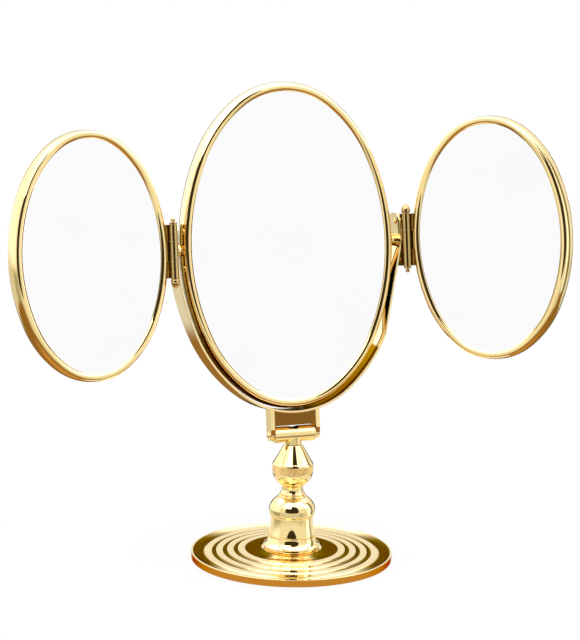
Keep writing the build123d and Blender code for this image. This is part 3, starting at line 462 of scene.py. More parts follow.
LIGHT = (0.92, 0.72, 0.34)
DARK = (0.89, 0.685, 0.305)
BRASS = make_brass("polished_brass", LIGHT, DARK)
BRASS_COLLAR = make_brass("collar_brass", LIGHT, DARK, shade_painter=paint_knurl_shade)
BRASS_BASE = make_brass("base_brass", LIGHT, DARK, shade_painter=paint_base_shade)
BRASS_BAND = make_brass("wall_brass", (0.94, 0.78, 0.44), (0.92, 0.75, 0.40))
BRASS_YOKE = make_brass("yoke_brass", (0.93, 0.75, 0.40), (0.91, 0.72, 0.36), shade_painter=paint_yoke_shade)
BRASS_WEB = make_brass("clevis_brass", LIGHT, (0.88, 0.67, 0.29), 0.05, 0.10, paint_web_shade)
# The darker brass of the hinge leaves and pins is painted shade.
BRASS_HINGE_SHADED = make_brass("hinge_brass_shaded", (0.62, 0.45, 0.18), (0.54, 0.38, 0.14), 0.05, 0.11)
BRASS_SMALL = make_brass("small_brass", (0.92, 0.71, 0.33), (0.87, 0.655, 0.28), 0.05, 0.11)
GLASS = make_mirror()
FELT = make_felt()
STEEL = make_plain(
    "screw_steel", (0.55, 0.55, 0.54), (0.42, 0.42, 0.42),
    scale=700.0, low=0.25, high=0.45, relief=0.1, metallic=1.0,
)
IRON = make_plain(
    "iron", (0.05, 0.05, 0.052), (0.09, 0.085, 0.08),
    scale=400.0, low=0.5, high=0.8, relief=0.5,
)
PLASTIC = make_plain(
    "bush_plastic", (0.80, 0.79, 0.74), (0.76, 0.75, 0.70),
    scale=300.0, low=0.35, high=0.5, relief=0.1,
)
BOARD = make_plain(
    "packing_board", (0.50, 0.38, 0.25), (0.42, 0.31, 0.20),
    scale=500.0, low=0.85, high=0.95, relief=0.4,
)
SLOT_MATERIALS = {
    "polished_brass": BRASS_SMALL,
    "mirror_glass": GLASS,
    "screw_steel": STEEL,
    "iron": IRON,
    "felt": FELT,
    "bush_plastic": PLASTIC,
    "packing_board": BOARD,
}
NODE_MATERIALS = {
    "tilt_bracket": BRASS_WEB,
    "pivot_barrel": BRASS,
    "left_yoke_leaf": BRASS_HINGE_SHADED,
    "right_yoke_leaf": BRASS_HINGE_SHADED,
    "left_wing_leaf": BRASS_HINGE_SHADED,
    "right_wing_leaf": BRASS_HINGE_SHADED,
}


# Outlines, as points in millimetres

def bow(start, middle, end, steps=16):
    """Points of the round arc through three points."""
    (ax, ay), (bx, by), (cx, cy) = start, middle, end
    twice = 2 * (ax * (by - cy) + bx * (cy - ay) + cx * (ay - by))
    a2, b2, c2 = ax * ax + ay * ay, bx * bx + by * by, cx * cx + cy * cy
    ux = (a2 * (by - cy) + b2 * (cy - ay) + c2 * (ay - by)) / twice
    uy = (a2 * (cx - bx) + b2 * (ax - cx) + c2 * (bx - ax)) / twice
    centre = Vector((ux, uy))
    first, last = Vector(start) - centre, Vector(end) - centre
    turn = first.angle_signed(last)
    mid_turn = first.angle_signed(Vector(middle) - centre)
    if turn * mid_turn < 0 or abs(mid_turn) > abs(turn):
        turn -= tau if turn > 0 else -tau
    points = []
    for i in range(steps + 1):
        a = -turn * i / steps
        x = centre.x + first.x * cos(a) - first.y * sin(a)
        y = centre.y + first.x * sin(a) + first.y * cos(a)
        points.append((x, y))
    return points


def joined(*parts):
    """One outline from points and lists of points, with repeats left out."""
    points = []
    for part in parts:
        for p in part if isinstance(part, list) else [part]:
            if not points or (Vector(p) - Vector(points[-1])).length > 1e-4:
                points.append(tuple(p))
    return points


def softened(points, radius, closed=True, steps=5):
    """Outline with its sharp corners rounded off."""
    if closed and (Vector(points[0]) - Vector(points[-1])).length < 1e-4:
        points = points[:-1]
    count = len(points)
    line = [Vector(p) for p in points]
    corners = []
    for i in range(count):
        if not closed and i in (0, count - 1):
            continue
        before = line[i] - line[i - 1]
        after = line[(i + 1) % count] - line[i]
        if before.angle(after) > radians(20):
            corners.append(i)
    if not corners:
        return points
    result = []
    skip_to = {}
    for i in corners:
        turn = (line[i] - line[i - 1]).angle(line[(i + 1) % count] - line[i])
        reach = radius * min(1.0, sin(turn / 2) / max(cos(turn / 2), 0.2))
        back, back_index = walk(line, i, -1, reach, corners, closed)
        ahead, ahead_index = walk(line, i, 1, reach, corners, closed)
        curve = []
        for k in range(steps + 1):
            t = k / steps
            curve.append((1 - t) ** 2 * back + 2 * t * (1 - t) * line[i] + t**2 * ahead)
        skip_to[i] = (back_index, ahead_index, curve)
    dropped = set()
    for i, (back_index, ahead_index, _) in skip_to.items():
        j = (back_index + 1) % count
        while j != ahead_index:
            dropped.add(j)
            j = (j + 1) % count
    for i in range(count):
        if i in skip_to:
            result.extend(tuple(p) for p in skip_to[i][2])
        elif i not in dropped:
            result.append(tuple(line[i]))
    return result


def walk(line, start, step, reach, corners, closed):
    """Point a distance along an outline from a corner, and the outline point just past it."""
    count = len(line)
    here = start
    left = reach
    while True:
        there = (here + step) % count
        gap = (line[there] - line[here]).length
        stop = there in corners or (not closed and there in (0, count - 1))
        limit = gap * (0.45 if there in corners else 0.9)
        if left <= gap and (not stop or left <= limit):
            return line[here].lerp(line[there], left / gap), there
        if stop:
            return line[here].lerp(line[there], limit / gap), there
        left -= gap
        here = there


# Meshes

def grid_mesh(name, grid, loop_section, loop_path, place, caps=False):
    """Mesh of a grid of points, grid[path][section], with normals taken from the grid itself."""
    rows, columns = len(grid), len(grid[0])
    flip = place.determinant() < 0
    points = []
    index = [[0] * columns for _ in range(rows)]
    poles = {}
    for j in range(rows):
        for i in range(columns):
            p = grid[j][i]
            pole = poles.get(i)
            if pole is not None and (p - points[pole]).length < 1e-6:
                index[j][i] = pole
                continue
            index[j][i] = len(points)
            if j == 0:
                poles[i] = len(points)
            points.append(p)
    pole_columns = [i for i in range(columns) if rows > 1 and index[1][i] == index[0][i]]
    normals = [Vector((0, 0, 0)) for _ in points]
    for j in range(rows):
        for i in range(columns):
            if i in pole_columns:
                continue
            i0, i1 = i - 1, i + 1
            if loop_section:
                i1 %= columns
            else:
                i0, i1 = max(i0, 0), min(i1, columns - 1)
            j0, j1 = j - 1, j + 1
            if loop_path:
                j1 %= rows
            else:
                j0, j1 = max(j0, 0), min(j1, rows - 1)
            along = grid[j][i1] - grid[j][i0]
            around = grid[j1][i] - grid[j0][i]
            normals[index[j][i]] = along.cross(around).normalized()
    for i in pole_columns:
        near = 1 if i == 0 else i - 1
        total = Vector((0, 0, 0))
        for j in range(rows):
            total += normals[index[j][near]]
        normals[index[0][i]] = total.normalized()
    faces = []
    last_j = rows if loop_path else rows - 1
    last_i = columns if loop_section else columns - 1
    for j in range(last_j):
        for i in range(last_i):
            ring = [
                index[j][i],
                index[j][(i + 1) % columns],
                index[(j + 1) % rows][(i + 1) % columns],
                index[(j + 1) % rows][i],
            ]
            face = [v for n, v in enumerate(ring) if v != ring[n - 1]]
            if len(face) > 2:
                faces.append(face)
    if caps:
        for j, turn in ((0, True), (rows - 1, False)):
            start = len(points)
            points.extend(grid[j][i] for i in range(columns))
            cap = list(range(start, start + columns))
            faces.append(cap[::-1] if turn else cap)
            along = (grid[1][0] - grid[0][0]) if turn else (grid[-1][0] - grid[-2][0])
            out = (-along if turn else along).normalized()
            normals.extend(out for _ in range(columns))
    return finish_mesh(name, points, normals, faces, place, flip)


def finish_mesh(name, points, normals, faces, place, flip):
    """Object from points in millimetres, put in place and turned to metres."""
    turn = place.to_3x3().inverted().transposed()
    mesh = bpy.data.meshes.new(name)
    if flip:
        faces = [f[::-1] for f in faces]
    mesh.from_pydata([(place @ p) * MM for p in points], [], faces)
    mesh.polygons.foreach_set("use_smooth", [True] * len(mesh.polygons))
    mesh.normals_split_custom_set_from_vertices([(turn @ n).normalized() for n in normals])
    item = bpy.data.objects.new(name, mesh)
    bpy.context.scene.collection.objects.link(item)
    return item


def fitted(item, body, nodes, material):
    """Give a piece its body, the solids it stands for and its finish."""
    item.data.materials.append(material)
    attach(item, body)
    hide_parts(*nodes)
    return item


def area(points):
    """Signed area of an outline."""
    total = 0.0
    for i, (x, y) in enumerate(points):
        nx, ny = points[(i + 1) % len(points)]
        total += x * ny - nx * y
    return total / 2


def lathe(name, outline, place=Matrix(), steps=160, rounding=0.3, closed=True, relief=None):
    """Turned piece about Z. relief(angle, height) moves its surface in or out."""
    outline = softened(outline, rounding, closed)
    if area(outline) > 0:
        outline = outline[::-1]
    grid = []
    for j in range(steps):
        a = tau * j / steps
        row = []
        for r, z in outline:
            reach = r + (relief(a, r, z) if relief else 0.0)
            row.append(Vector((reach * cos(a), reach * sin(a), z)))
        grid.append(row)
    return grid_mesh(name, grid, closed, True, place)


def oval_path(size, steps=14):
    """Points round an oval of eight arcs: arc centre, radius and angle."""
    half_width, half_height = size
    side = OVAL_SIDE_SHARE * half_height**2 / half_width
    a1, a2 = radians(OVAL_SIDE_ANGLE), radians(OVAL_TOP_ANGLE)
    across = half_width - side + side * cos(a1)
    along = half_height - side * sin(a1)
    shoulder = (along * cos(a2) - across * (1 - sin(a2))) / (
        (cos(a1) - cos(a2)) * (sin(a2) - 1) + (sin(a2) - sin(a1)) * cos(a2)
    )
    top = (across - shoulder * (cos(a1) - cos(a2))) / cos(a2)
    shoulder_x = half_width - side + (side - shoulder) * cos(a1)
    shoulder_z = (side - shoulder) * sin(a1)
    arcs = [
        ((half_width - side, 0), side, -a1, a1),
        ((shoulder_x, shoulder_z), shoulder, a1, a2),
        ((0, half_height - top), top, a2, pi - a2),
        ((-shoulder_x, shoulder_z), shoulder, pi - a2, pi - a1),
        ((side - half_width, 0), side, pi - a1, pi + a1),
        ((-shoulder_x, -shoulder_z), shoulder, pi + a1, pi + a2),
        ((0, top - half_height), top, pi + a2, tau - a2),
        ((shoulder_x, -shoulder_z), shoulder, tau - a2, tau - a1),
    ]
    path = []
    for centre, radius, first, last in arcs:
        for k in range(steps):
            path.append((centre, radius, first + (last - first) * k / steps))
    return path


def oval_point(station, offset, depth):
    """Point at an offset outside an oval and at a depth."""
    (cx, cz), radius, angle = station
    reach = radius + offset
    return Vector((cx + reach * cos(angle), depth, cz + reach * sin(angle)))


def oval_ring(name, size, outline, place, rounding=0.3):
    """Ring of one section, (offset, depth), all round an oval."""
    outline = softened(outline, rounding)
    if area(outline) < 0:
        outline = outline[::-1]
    grid = [[oval_point(s, o, y) for o, y in outline] for s in oval_path(size)]
    return grid_mesh(name, grid, True, True, place)


def oval_plate(name, size, inset, front, back, place, rounding=0.3, hollow=None):
    """Oval plate between two depths. hollow(x, z) sinks its back face."""
    edge = [(-PLATE_EDGE, front), (-inset, front), (-inset, back), (-PLATE_EDGE, back)]
    edge = softened(edge, rounding, closed=False)
    grid = []
    for s in oval_path(size):
        rim = [oval_point(s, o, y) for o, y in edge]
        middle = [Vector((0, front, 0)).lerp(rim[0], k / 6) for k in range(6)]
        rear = [Vector((0, back, 0)).lerp(rim[-1], k / 6) for k in range(5, -1, -1)]
        row = middle + rim + rear
        if hollow:
            centre = (front + back) / 2
            row = [p - Vector((0, hollow(p.x, p.z), 0)) if p.y > centre else p for p in row]
        grid.append(row)
    return grid_mesh(name, grid, False, True, place)


# Base and column

def make_base():
    """Dish with its raised rim, its cove and its flat rings."""
    outer = [(BASE_RADIUS, BASE_BOTTOM), (BASE_RADIUS, BASE_EDGE_TOP)]
    rim_in = BASE_RADIUS - RIM_WIDTH
    radius = rim_in - COVE_WIDTH
    height = RING_FIRST_TOP
    cove = (rim_in - COVE_WIDTH * COVE_SHARE, RING_FIRST_TOP - RING_GROOVE_DEPTH)
    parts = [outer, bow((rim_in, BASE_EDGE_TOP), cove, (radius, height), 24)]
    for ring in range(RING_COUNT):
        inner = radius - RING_FLAT
        last = ring == RING_COUNT - 1
        radius = CENTRE_RADIUS if last else inner - RING_GROOVE
        after = CENTRE_TOP if last else height + RING_STEP
        dip = WELL_DEPTH if last else RING_GROOVE_DEPTH
        low = ((inner + radius) / 2, (height + after) / 2 - dip)
        parts.append(bow((inner, height), low, (radius, after)))
        height = after
    under = [
        (TUBE_RADIUS, CENTRE_TOP),
        (TUBE_RADIUS, UNDERSIDE_TOP),
        (WEIGHT_BORE, UNDERSIDE_TOP),
        (WEIGHT_STEP_RADIUS, UNDERSIDE_MIDDLE),
        (WEIGHT_RADIUS, UNDERSIDE_BOTTOM),
        (BASE_INNER_RADIUS, UNDERSIDE_BOTTOM),
        (BASE_INNER_RADIUS, BASE_BOTTOM),
    ]
    dish = lathe("base_dish_brass", joined(*parts, under), steps=256, rounding=0.45)
    fitted(dish, "stand", ["base_dish"], BRASS_BASE)


def make_column():
    """Foot, sleeve, cap and neck, one above the other."""
    make_foot()
    make_sleeve()
    make_cap()
    make_neck()


def make_foot():
    bead = FOOT_RADIUS - FOOT_BEAD_INSET
    bead_top = CENTRE_TOP + FOOT_BEAD_HEIGHT
    flare_height = bead_top + (FOOT_TOP - bead_top) * FOOT_FLARE_SHARE
    flare = (FOOT_NECK_RADIUS + FOOT_FLARE, flare_height)
    foot = joined(
        (TUBE_RADIUS, CENTRE_TOP),
        bow(
            (bead - FOOT_BEAD_ROUND, CENTRE_TOP),
            (bead, CENTRE_TOP + FOOT_BEAD_ROUND),
            (bead - FOOT_BEAD_ROUND / 2, bead_top - FOOT_GROOVE),
        ),
        (FOOT_RADIUS, bead_top - FOOT_LIP),
        bow((FOOT_RADIUS, bead_top), flare, (FOOT_NECK_RADIUS, FOOT_TOP)),
        (TUBE_RADIUS, FOOT_TOP),
    )
    fitted(lathe("column_foot_brass", foot, rounding=0.35), "stand", ["column_foot"], BRASS)


def make_sleeve():
    waist = (SLEEVE_WAIST_RADIUS, FOOT_TOP + SLEEVE_HEIGHT * SLEEVE_HOLLOW_SHARE)
    sleeve = joined(
        (SLEEVE_BORE, FOOT_TOP),
        bow((SLEEVE_BOTTOM_RADIUS, FOOT_TOP), waist, (SLEEVE_TOP_RADIUS, SLEEVE_TOP)),
        (SLEEVE_BORE, SLEEVE_TOP),
    )
    fitted(lathe("column_sleeve_brass", sleeve), "stand", ["column_sleeve"], BRASS)


def make_cap():
    side_top = SLEEVE_TOP + CAP_SIDE_HEIGHT
    dome = (CAP_RADIUS - CAP_DOME_INSET, side_top + (CAP_TOP - side_top) * CAP_DOME_SHARE)
    cap = joined(
        (SLEEVE_BORE, SLEEVE_TOP),
        (CAP_RADIUS - CAP_STEP, SLEEVE_TOP),
        (CAP_RADIUS - CAP_STEP, SLEEVE_TOP + CAP_STEP_HEIGHT),
        (CAP_RADIUS, SLEEVE_TOP + CAP_STEP_HEIGHT + CAP_STEP),
        bow((CAP_RADIUS, side_top), dome, (CAP_TOP_RADIUS, CAP_TOP)),
        (TUBE_RADIUS, CAP_TOP),
        (TUBE_RADIUS, CAP_TOP - CAP_WALL),
        (CAP_TOP_RADIUS - CAP_WALL, CAP_TOP - CAP_WALL),
        (SLEEVE_BORE, side_top - CAP_WALL),
    )
    fitted(lathe("column_cap_brass", cap, rounding=0.6), "stand", ["column_cap"], BRASS)


def make_neck():
    waist = NECK_WAIST_RADIUS
    ring_top = CAP_TOP + NECK_RING_HEIGHT
    second = ring_top + NECK_RING_HEIGHT
    ring_side = NECK_RING_RADIUS - NECK_ROUND
    ring_crest = (NECK_RING_RADIUS, (CAP_TOP + ring_top) / 2)
    edge = waist + NECK_RING_EDGE
    low, high = ring_top + NECK_RING_RISE, second + NECK_RING_RISE
    neck = joined(
        (TUBE_RADIUS, CAP_TOP),
        bow((ring_side, CAP_TOP), ring_crest, (ring_side, ring_top)),
        bow((edge, low), (waist + NECK_RING_OUT, (low + high) / 2), (edge, high)),
        bow((edge, high), (waist, (second + NECK_TOP) / 2), (waist + NECK_TOP_OUT, NECK_TOP)),
        (COLLET_RADIUS, NECK_TOP),
        (COLLET_RADIUS, NECK_TOP + COLLET_HEIGHT - COLLET_TIP_HEIGHT),
        (COLLET_TIP_RADIUS, NECK_TOP + COLLET_HEIGHT),
        (STEM_RADIUS + STEM_FIT, NECK_TOP + COLLET_HEIGHT),
        (STEM_RADIUS + STEM_FIT, CAP_TOP + TUBE_IN_NECK),
        (TUBE_RADIUS, CAP_TOP + TUBE_IN_NECK),
    )
    fitted(lathe("neck_collet_brass", neck, rounding=0.25), "stand", ["neck_collet"], BRASS)


def knurl(angle, radius, height):
    """Depth of the collar's crossed cuts."""
    if radius < COLLAR_RADIUS - 0.01 or not KNURL_BOTTOM < height < KNURL_TOP:
        return 0.0
    turn = angle * KNURL_COUNT / tau
    climb = (height - KNURL_BOTTOM) * KNURL_COUNT / (tau * COLLAR_RADIUS)
    right = abs((turn + climb) % 1.0 - 0.5) * 2
    left = abs((turn - climb) % 1.0 - 0.5) * 2
    fade = min(1.0, (height - KNURL_BOTTOM) / KNURL_FADE, (KNURL_TOP - height) / KNURL_FADE)
    return -KNURL_DEPTH * max(right, left) ** 3 * fade


def make_collar():
    """Bulb, knurled band and cone of the locking collar."""
    bulb_height = COLLAR_BOTTOM + COLLAR_BULB_HEIGHT * COLLAR_BULB_SHARE
    bulb = (COLLAR_RADIUS - COLLAR_BULB_INSET, bulb_height)
    rise = (KNURL_TOP - KNURL_BOTTOM) / KNURL_ROWS
    band = [(COLLAR_RADIUS, KNURL_BOTTOM + rise * k) for k in range(KNURL_ROWS + 1)]
    shoulder = (COLLAR_RADIUS - COLLAR_SHOULDER_ROUND, KNURL_TOP + COLLAR_SHOULDER_HEIGHT / 2)
    cone_start = (COLLAR_RADIUS - COLLAR_SHOULDER_INSET, KNURL_TOP + COLLAR_SHOULDER_HEIGHT)
    outline = joined(
        (COLLAR_BORE, COLLAR_BOTTOM + COLLET_HEIGHT),
        (COLLAR_SKIRT_BORE, COLLAR_BOTTOM + COLLET_HEIGHT - COLLET_TIP_HEIGHT),
        (COLLAR_SKIRT_BORE, COLLAR_BOTTOM),
        bow((COLLAR_FOOT_RADIUS, COLLAR_BOTTOM), bulb, (COLLAR_RADIUS, KNURL_BOTTOM), 24),
        band,
        bow((COLLAR_RADIUS, KNURL_TOP), shoulder, cone_start),
        (COLLAR_TOP_RADIUS, COLLAR_TOP),
        (COLLAR_BORE, COLLAR_TOP),
    )
    collar = lathe("locking_collar_brass", outline, steps=KNURL_COUNT * 8, relief=knurl)
    fitted(collar, "collar", ["locking_collar"], BRASS_COLLAR)


# Head

def band_outline(depth, bulge):
    """Section of a frame's outer wall."""
    half = depth / 2 - BEZEL_THICKNESS
    return joined(bow((0, -half), (bulge, 0), (0, half), 20), (-WALL, half), (-WALL, -half))


def bezel_outline(depth, side):
    """Section of the rim that holds a glass, in front (-1) or behind (1)."""
    seat = side * (depth / 2 - BEZEL_THICKNESS)
    outer = (0, seat + side * BEZEL_OUTER_HEIGHT)
    crest = (-BEZEL_CREST, seat + side * BEZEL_THICKNESS)
    inner = (-BEZEL_WIDTH, seat + side * BEZEL_INNER_HEIGHT)
    return joined(bow(outer, crest, inner, 20), (-BEZEL_WIDTH, seat), (0, seat))


def make_centre():
    """Centre mirror, with a glass on each side."""
    body = "centre_mirror"
    seat = CENTRE_DEPTH / 2 - BEZEL_THICKNESS
    wall = band_outline(CENTRE_DEPTH, CENTRE_BULGE)
    band = oval_ring("centre_band_brass", CENTRE_SIZE, wall, MIRROR)
    fitted(band, body, ["centre_band"], BRASS_BAND)
    for word, side in (("front", -1), ("rear", 1)):
        rim = bezel_outline(CENTRE_DEPTH, side)
        bezel = oval_ring(f"centre_{word}_bezel_brass", CENTRE_SIZE, rim, MIRROR)
        fitted(bezel, body, [f"centre_{word}_bezel"], BRASS)
    front_depths = (-seat, -seat + GLASS_THICKNESS)
    front = oval_plate("centre_front_mirror", CENTRE_SIZE, GLASS_INSET, *front_depths, MIRROR)
    fitted(front, body, ["centre_front_glass"], GLASS)
    lens_half = CENTRE_SIZE[1] - BEZEL_WIDTH
    lens_edge = sqrt(REAR_GLASS_SPHERE**2 - lens_half**2)

    def hollow(x, z):
        return max(sqrt(REAR_GLASS_SPHERE**2 - x * x - z * z) - lens_edge, 0.0)

    rear_depths = (seat - REAR_GLASS_THICKNESS, seat)
    rear = oval_plate(
        "centre_rear_mirror", CENTRE_SIZE, GLASS_INSET, *rear_depths, MIRROR, hollow=hollow
    )
    fitted(rear, body, ["centre_rear_glass"], GLASS)


def make_wing(word, side, angle):
    """Wing on one side, folded forward by an angle on its hinge pin."""
    body = f"{word}_wing"
    half = WING_DEPTH / 2
    seat = half - BEZEL_THICKNESS
    hinge = MIRROR @ Matrix.Translation((side * PIN_X, PIN_Y, 0))
    place = hinge @ Matrix.Rotation(radians(-side * angle), 4, "Z")
    if side < 0:
        place = place @ Matrix.Diagonal((-1, 1, 1, 1))
    out = WING_EDGE_OUT + WING_BULGE + WING_SIZE[0]
    place = place @ Matrix.Translation((out, WING_FRONT_BACK + half, 0))
    wall = band_outline(WING_DEPTH, WING_BULGE)
    band = oval_ring(f"{body}_band_brass", WING_SIZE, wall, place)
    fitted(band, body, [f"{body}_band"], BRASS)
    bezel = oval_ring(f"{body}_bezel_brass", WING_SIZE, bezel_outline(WING_DEPTH, -1), place)
    fitted(bezel, body, [f"{body}_bezel"], BRASS)
    depths = (-seat, -seat + GLASS_THICKNESS)
    glass = oval_plate(f"{body}_mirror", WING_SIZE, GLASS_INSET, *depths, place)
    fitted(glass, body, [f"{body}_glass"], GLASS)
    back = oval_plate(f"{body}_back_brass", WING_SIZE, 0.0, seat, seat + BACK_THICKNESS, place)
    fitted(back, body, [f"{body}_back"], BRASS)
    level = seat + BACK_THICKNESS
    crest = (-BACK_BEAD_WIDTH * BACK_BEAD_CREST, level + BACK_BEAD_HEIGHT)
    bead_line = joined(bow((0, level), crest, (-BACK_BEAD_WIDTH, level), 12))
    bead = oval_ring(f"{body}_back_bead_brass", WING_SIZE, bead_line, place)
    fitted(bead, body, [], BRASS)


def make_yoke():
    """Half-oval flat band with rounded ends."""
    half = YOKE_DEPTH / 2
    outline = [(0, -half), (0, half), (-YOKE_THICKNESS, half), (-YOKE_THICKNESS, -half)]
    outline = softened(outline, radius=0.5)
    if area(outline) < 0:
        outline = outline[::-1]
    path = oval_path(YOKE_SIZE, 20)
    centre, radius, _ = path[0]
    rise = asin(YOKE_RISE / radius)
    corner = YOKE_CORNER / radius
    fine = [rise - corner * (1 - cos(radians(a))) for a in range(0, 91, 6)]
    right = fine + [fine[-1] * (1 - k / YOKE_SIDE_STEPS) for k in range(1, YOKE_SIDE_STEPS + 1)]
    left_centre = (-centre[0], 0)
    stations = [(left_centre, radius, pi - a) for a in right]
    stations += [s for s in path if pi < s[2] < tau]
    stations += [(centre, radius, a) for a in reversed(right)]
    grid = []
    for s in stations:
        past = s[2] - tau if s[2] > pi + 1 else s[2]
        height = radius * sin(past) if abs(past) < 0.6 or abs(past - pi) < 0.6 else -1e3
        from_end = YOKE_RISE - height
        pinch = 1.0
        if from_end < YOKE_CORNER:
            short = YOKE_CORNER - max(from_end, 0)
            pinch = (half - YOKE_CORNER + sqrt(YOKE_CORNER**2 - short**2)) / half
        grid.append([oval_point(s, o, y * pinch) for o, y in outline])
    yoke = grid_mesh("yoke_band_brass", grid, True, False, MIRROR, caps=True)
    fitted(yoke, "yoke", ["yoke_band"], BRASS_YOKE)


def make_pin(word, side):
    """Hinge pin with an acorn at one end and a small ball at the other."""
    half = HINGE_HEIGHT / 2
    lip = half + PIN_LIP_HEIGHT
    disc = lip + PIN_DISC_HEIGHT
    neck_end = disc + FINIAL_NECK_HEIGHT
    neck, ball = FINIAL_NECK_RADIUS, FINIAL_BALL_RADIUS
    ball_centre = -neck_end - ball * FINIAL_BALL_SHARE
    shares = ((1.0, ACORN_BOTTOM / ACORN_HEIGHT), (1.1, 0.7), (0.4, 0.9), (0.0, 1.0))
    acorn = []
    for k in range(17):
        t = k / 16
        weights = ((1 - t) ** 3, 3 * t * (1 - t) ** 2, 3 * t * t * (1 - t), t**3)
        out = sum(w * share[0] for w, share in zip(weights, shares))
        up = sum(w * share[1] for w, share in zip(weights, shares))
        acorn.append((ACORN_RADIUS * out, half + ACORN_HEIGHT * up))
    outline = joined(
        bow((0, ball_centre - ball), (ball, ball_centre), (neck, -neck_end), 20),
        (neck, -disc),
        (PIN_DISC_RADIUS, -disc),
        (PIN_DISC_RADIUS, -lip),
        (PIN_LIP_RADIUS, -lip),
        (PIN_LIP_RADIUS, -half),
        (PIN_RADIUS, -half),
        (PIN_RADIUS, half),
        (PIN_LIP_RADIUS, half),
        (PIN_LIP_RADIUS, lip),
        acorn,
    )
    place = MIRROR @ Matrix.Translation((side * PIN_X, PIN_Y, 0))
    if side < 0:
        place = place @ Matrix.Rotation(pi, 4, "X")
    pin = lathe(f"{word}_hinge_pin_brass", outline, place, steps=64, rounding=0.25, closed=False)
    fitted(pin, "yoke", [f"{word}_hinge_pin"], BRASS_HINGE_SHADED)


# Studio

CAMERA_AZIMUTH = -20.5
WINDOW_WIDTH = 35.0
WINDOW_HEIGHT = 30.0
WINDOW_RISE = 24.0
HORIZON = -23.0
FLOOR_RADIUS = 0.17
# Softboxes: from and to azimuth, lowest rise, light added.
# Flags: from and to azimuth, highest rise, light left.
SOFTBOXES = ((-150, -66, -8, 0.4), (84, 104, -30, 0.8))
FLAGS = (
    (110, 122, 40, 0.2),
    (-105, -62, -10, 0.62),
    (38, 58, -10, 0.75),
    (150, 184, 6, 0.12),
    (-184, -150, 6, 0.12),
)
SOFTBOX_FADE = 4
FLAG_FADE = 2
FLAG_TOP_FADE = 3
TENT_LIGHT = 0.78
BLUE_POWER = 1.3
OPENING = (0.045, 0.035, 0.02)
TABLE_FAR = (0.33, 0.17, 0.04)
TABLE_NEAR = (0.66, 0.35, 0.09)
ROOM = (0.95, 0.95, 0.95)
FLOOR_SIDES = 64
FLOOR_GLOW = 0.88
FLOOR_FADE_START = 0.11
CAMERA_LENS = 152.17
CAMERA_PLACE = (-0.8226, -2.1864, 0.7186)
CAMERA_RIGHT = (0.93780299, -0.34675342, 0.01695924)
CAMERA_UP = (0.05706679, 0.20215596, 0.97768929)
CAMERA_AHEAD = (0.34244551, 0.91591213, -0.20937057)


def between(sums, value, first, last, fade):
    """One between two values and nothing outside them."""
    start = sums.step(value, first - fade, first + fade)
    end = sums.step(value, last + fade, last - fade)
    return sums.do("MULTIPLY", start, end)


def make_world():
    """White tent over a warm table, with a dark opening for the camera."""
    world = bpy.data.worlds.new("studio")
    bpy.context.scene.world = world
    world.use_nodes = True
    tree = world.node_tree
    sums = Sums(tree)
    way = tree.nodes.new("ShaderNodeTexCoord").outputs["Generated"]
    turn = radians(CAMERA_AZIMUTH)
    ahead = sums.dot(way, (sin(turn), -cos(turn), 0))
    aside = sums.dot(way, (cos(turn), sin(turn), 0))
    up = sums.dot(way, (0, 0, 1))
    azimuth = sums.do("MULTIPLY", sums.do("ARCTAN2", aside, ahead), 180 / pi)
    rise = sums.do("MULTIPLY", sums.do("ARCSINE", up), 180 / pi)
    across = sums.do("POWER", sums.do("ABSOLUTE", sums.do("DIVIDE", azimuth, WINDOW_WIDTH)), 2.0)
    above = sums.do("DIVIDE", sums.do("SUBTRACT", rise, WINDOW_RISE), WINDOW_HEIGHT)
    above = sums.do("POWER", sums.do("ABSOLUTE", above), 4.0)
    window = sums.step(sums.do("ADD", across, above), 1.05, 0.95)
    light = sums.do("ADD", TENT_LIGHT, sums.do("MULTIPLY", sums.step(rise, -13.0, -8.0), 0.24))
    light = sums.do("ADD", light, sums.do("MULTIPLY", sums.step(rise, 22.0, 50.0), 1.1))
    for first, last, low, more in SOFTBOXES:
        inside = between(sums, azimuth, first, last, SOFTBOX_FADE)
        over = sums.step(rise, low - SOFTBOX_FADE, low + SOFTBOX_FADE)
        inside = sums.do("MULTIPLY", inside, over)
        light = sums.do("ADD", light, sums.do("MULTIPLY", inside, more))
    for first, last, high, left in FLAGS:
        inside = between(sums, azimuth, first, last, FLAG_FADE)
        under = sums.step(rise, high + FLAG_TOP_FADE, high - FLAG_TOP_FADE)
        inside = sums.do("MULTIPLY", inside, under)
        passed = sums.do("SUBTRACT", 1.0, sums.do("MULTIPLY", inside, 1 - left))
        light = sums.do("MULTIPLY", light, passed)
    cool = tree.nodes.new("ShaderNodeCombineColor")
    tree.links.new(light, cool.inputs["Red"])
    tree.links.new(light, cool.inputs["Green"])
    tree.links.new(sums.do("POWER", light, BLUE_POWER), cool.inputs["Blue"])
    sky = sums.mix(window, cool.outputs["Color"], OPENING)
    table = sums.mix(sums.step(rise, -38.0, -55.0), TABLE_FAR, TABLE_NEAR)
    seen = sums.mix(sums.step(rise, HORIZON - 2, HORIZON + 1), table, sky)
    rays = tree.nodes.new("ShaderNodeLightPath").outputs
    colour = sums.mix(rays["Is Glossy Ray"], ROOM, seen)
    colour = sums.mix(rays["Is Camera Ray"], colour, WHITE)
    tree.links.new(colour, tree.nodes["Background"].inputs["Color"])


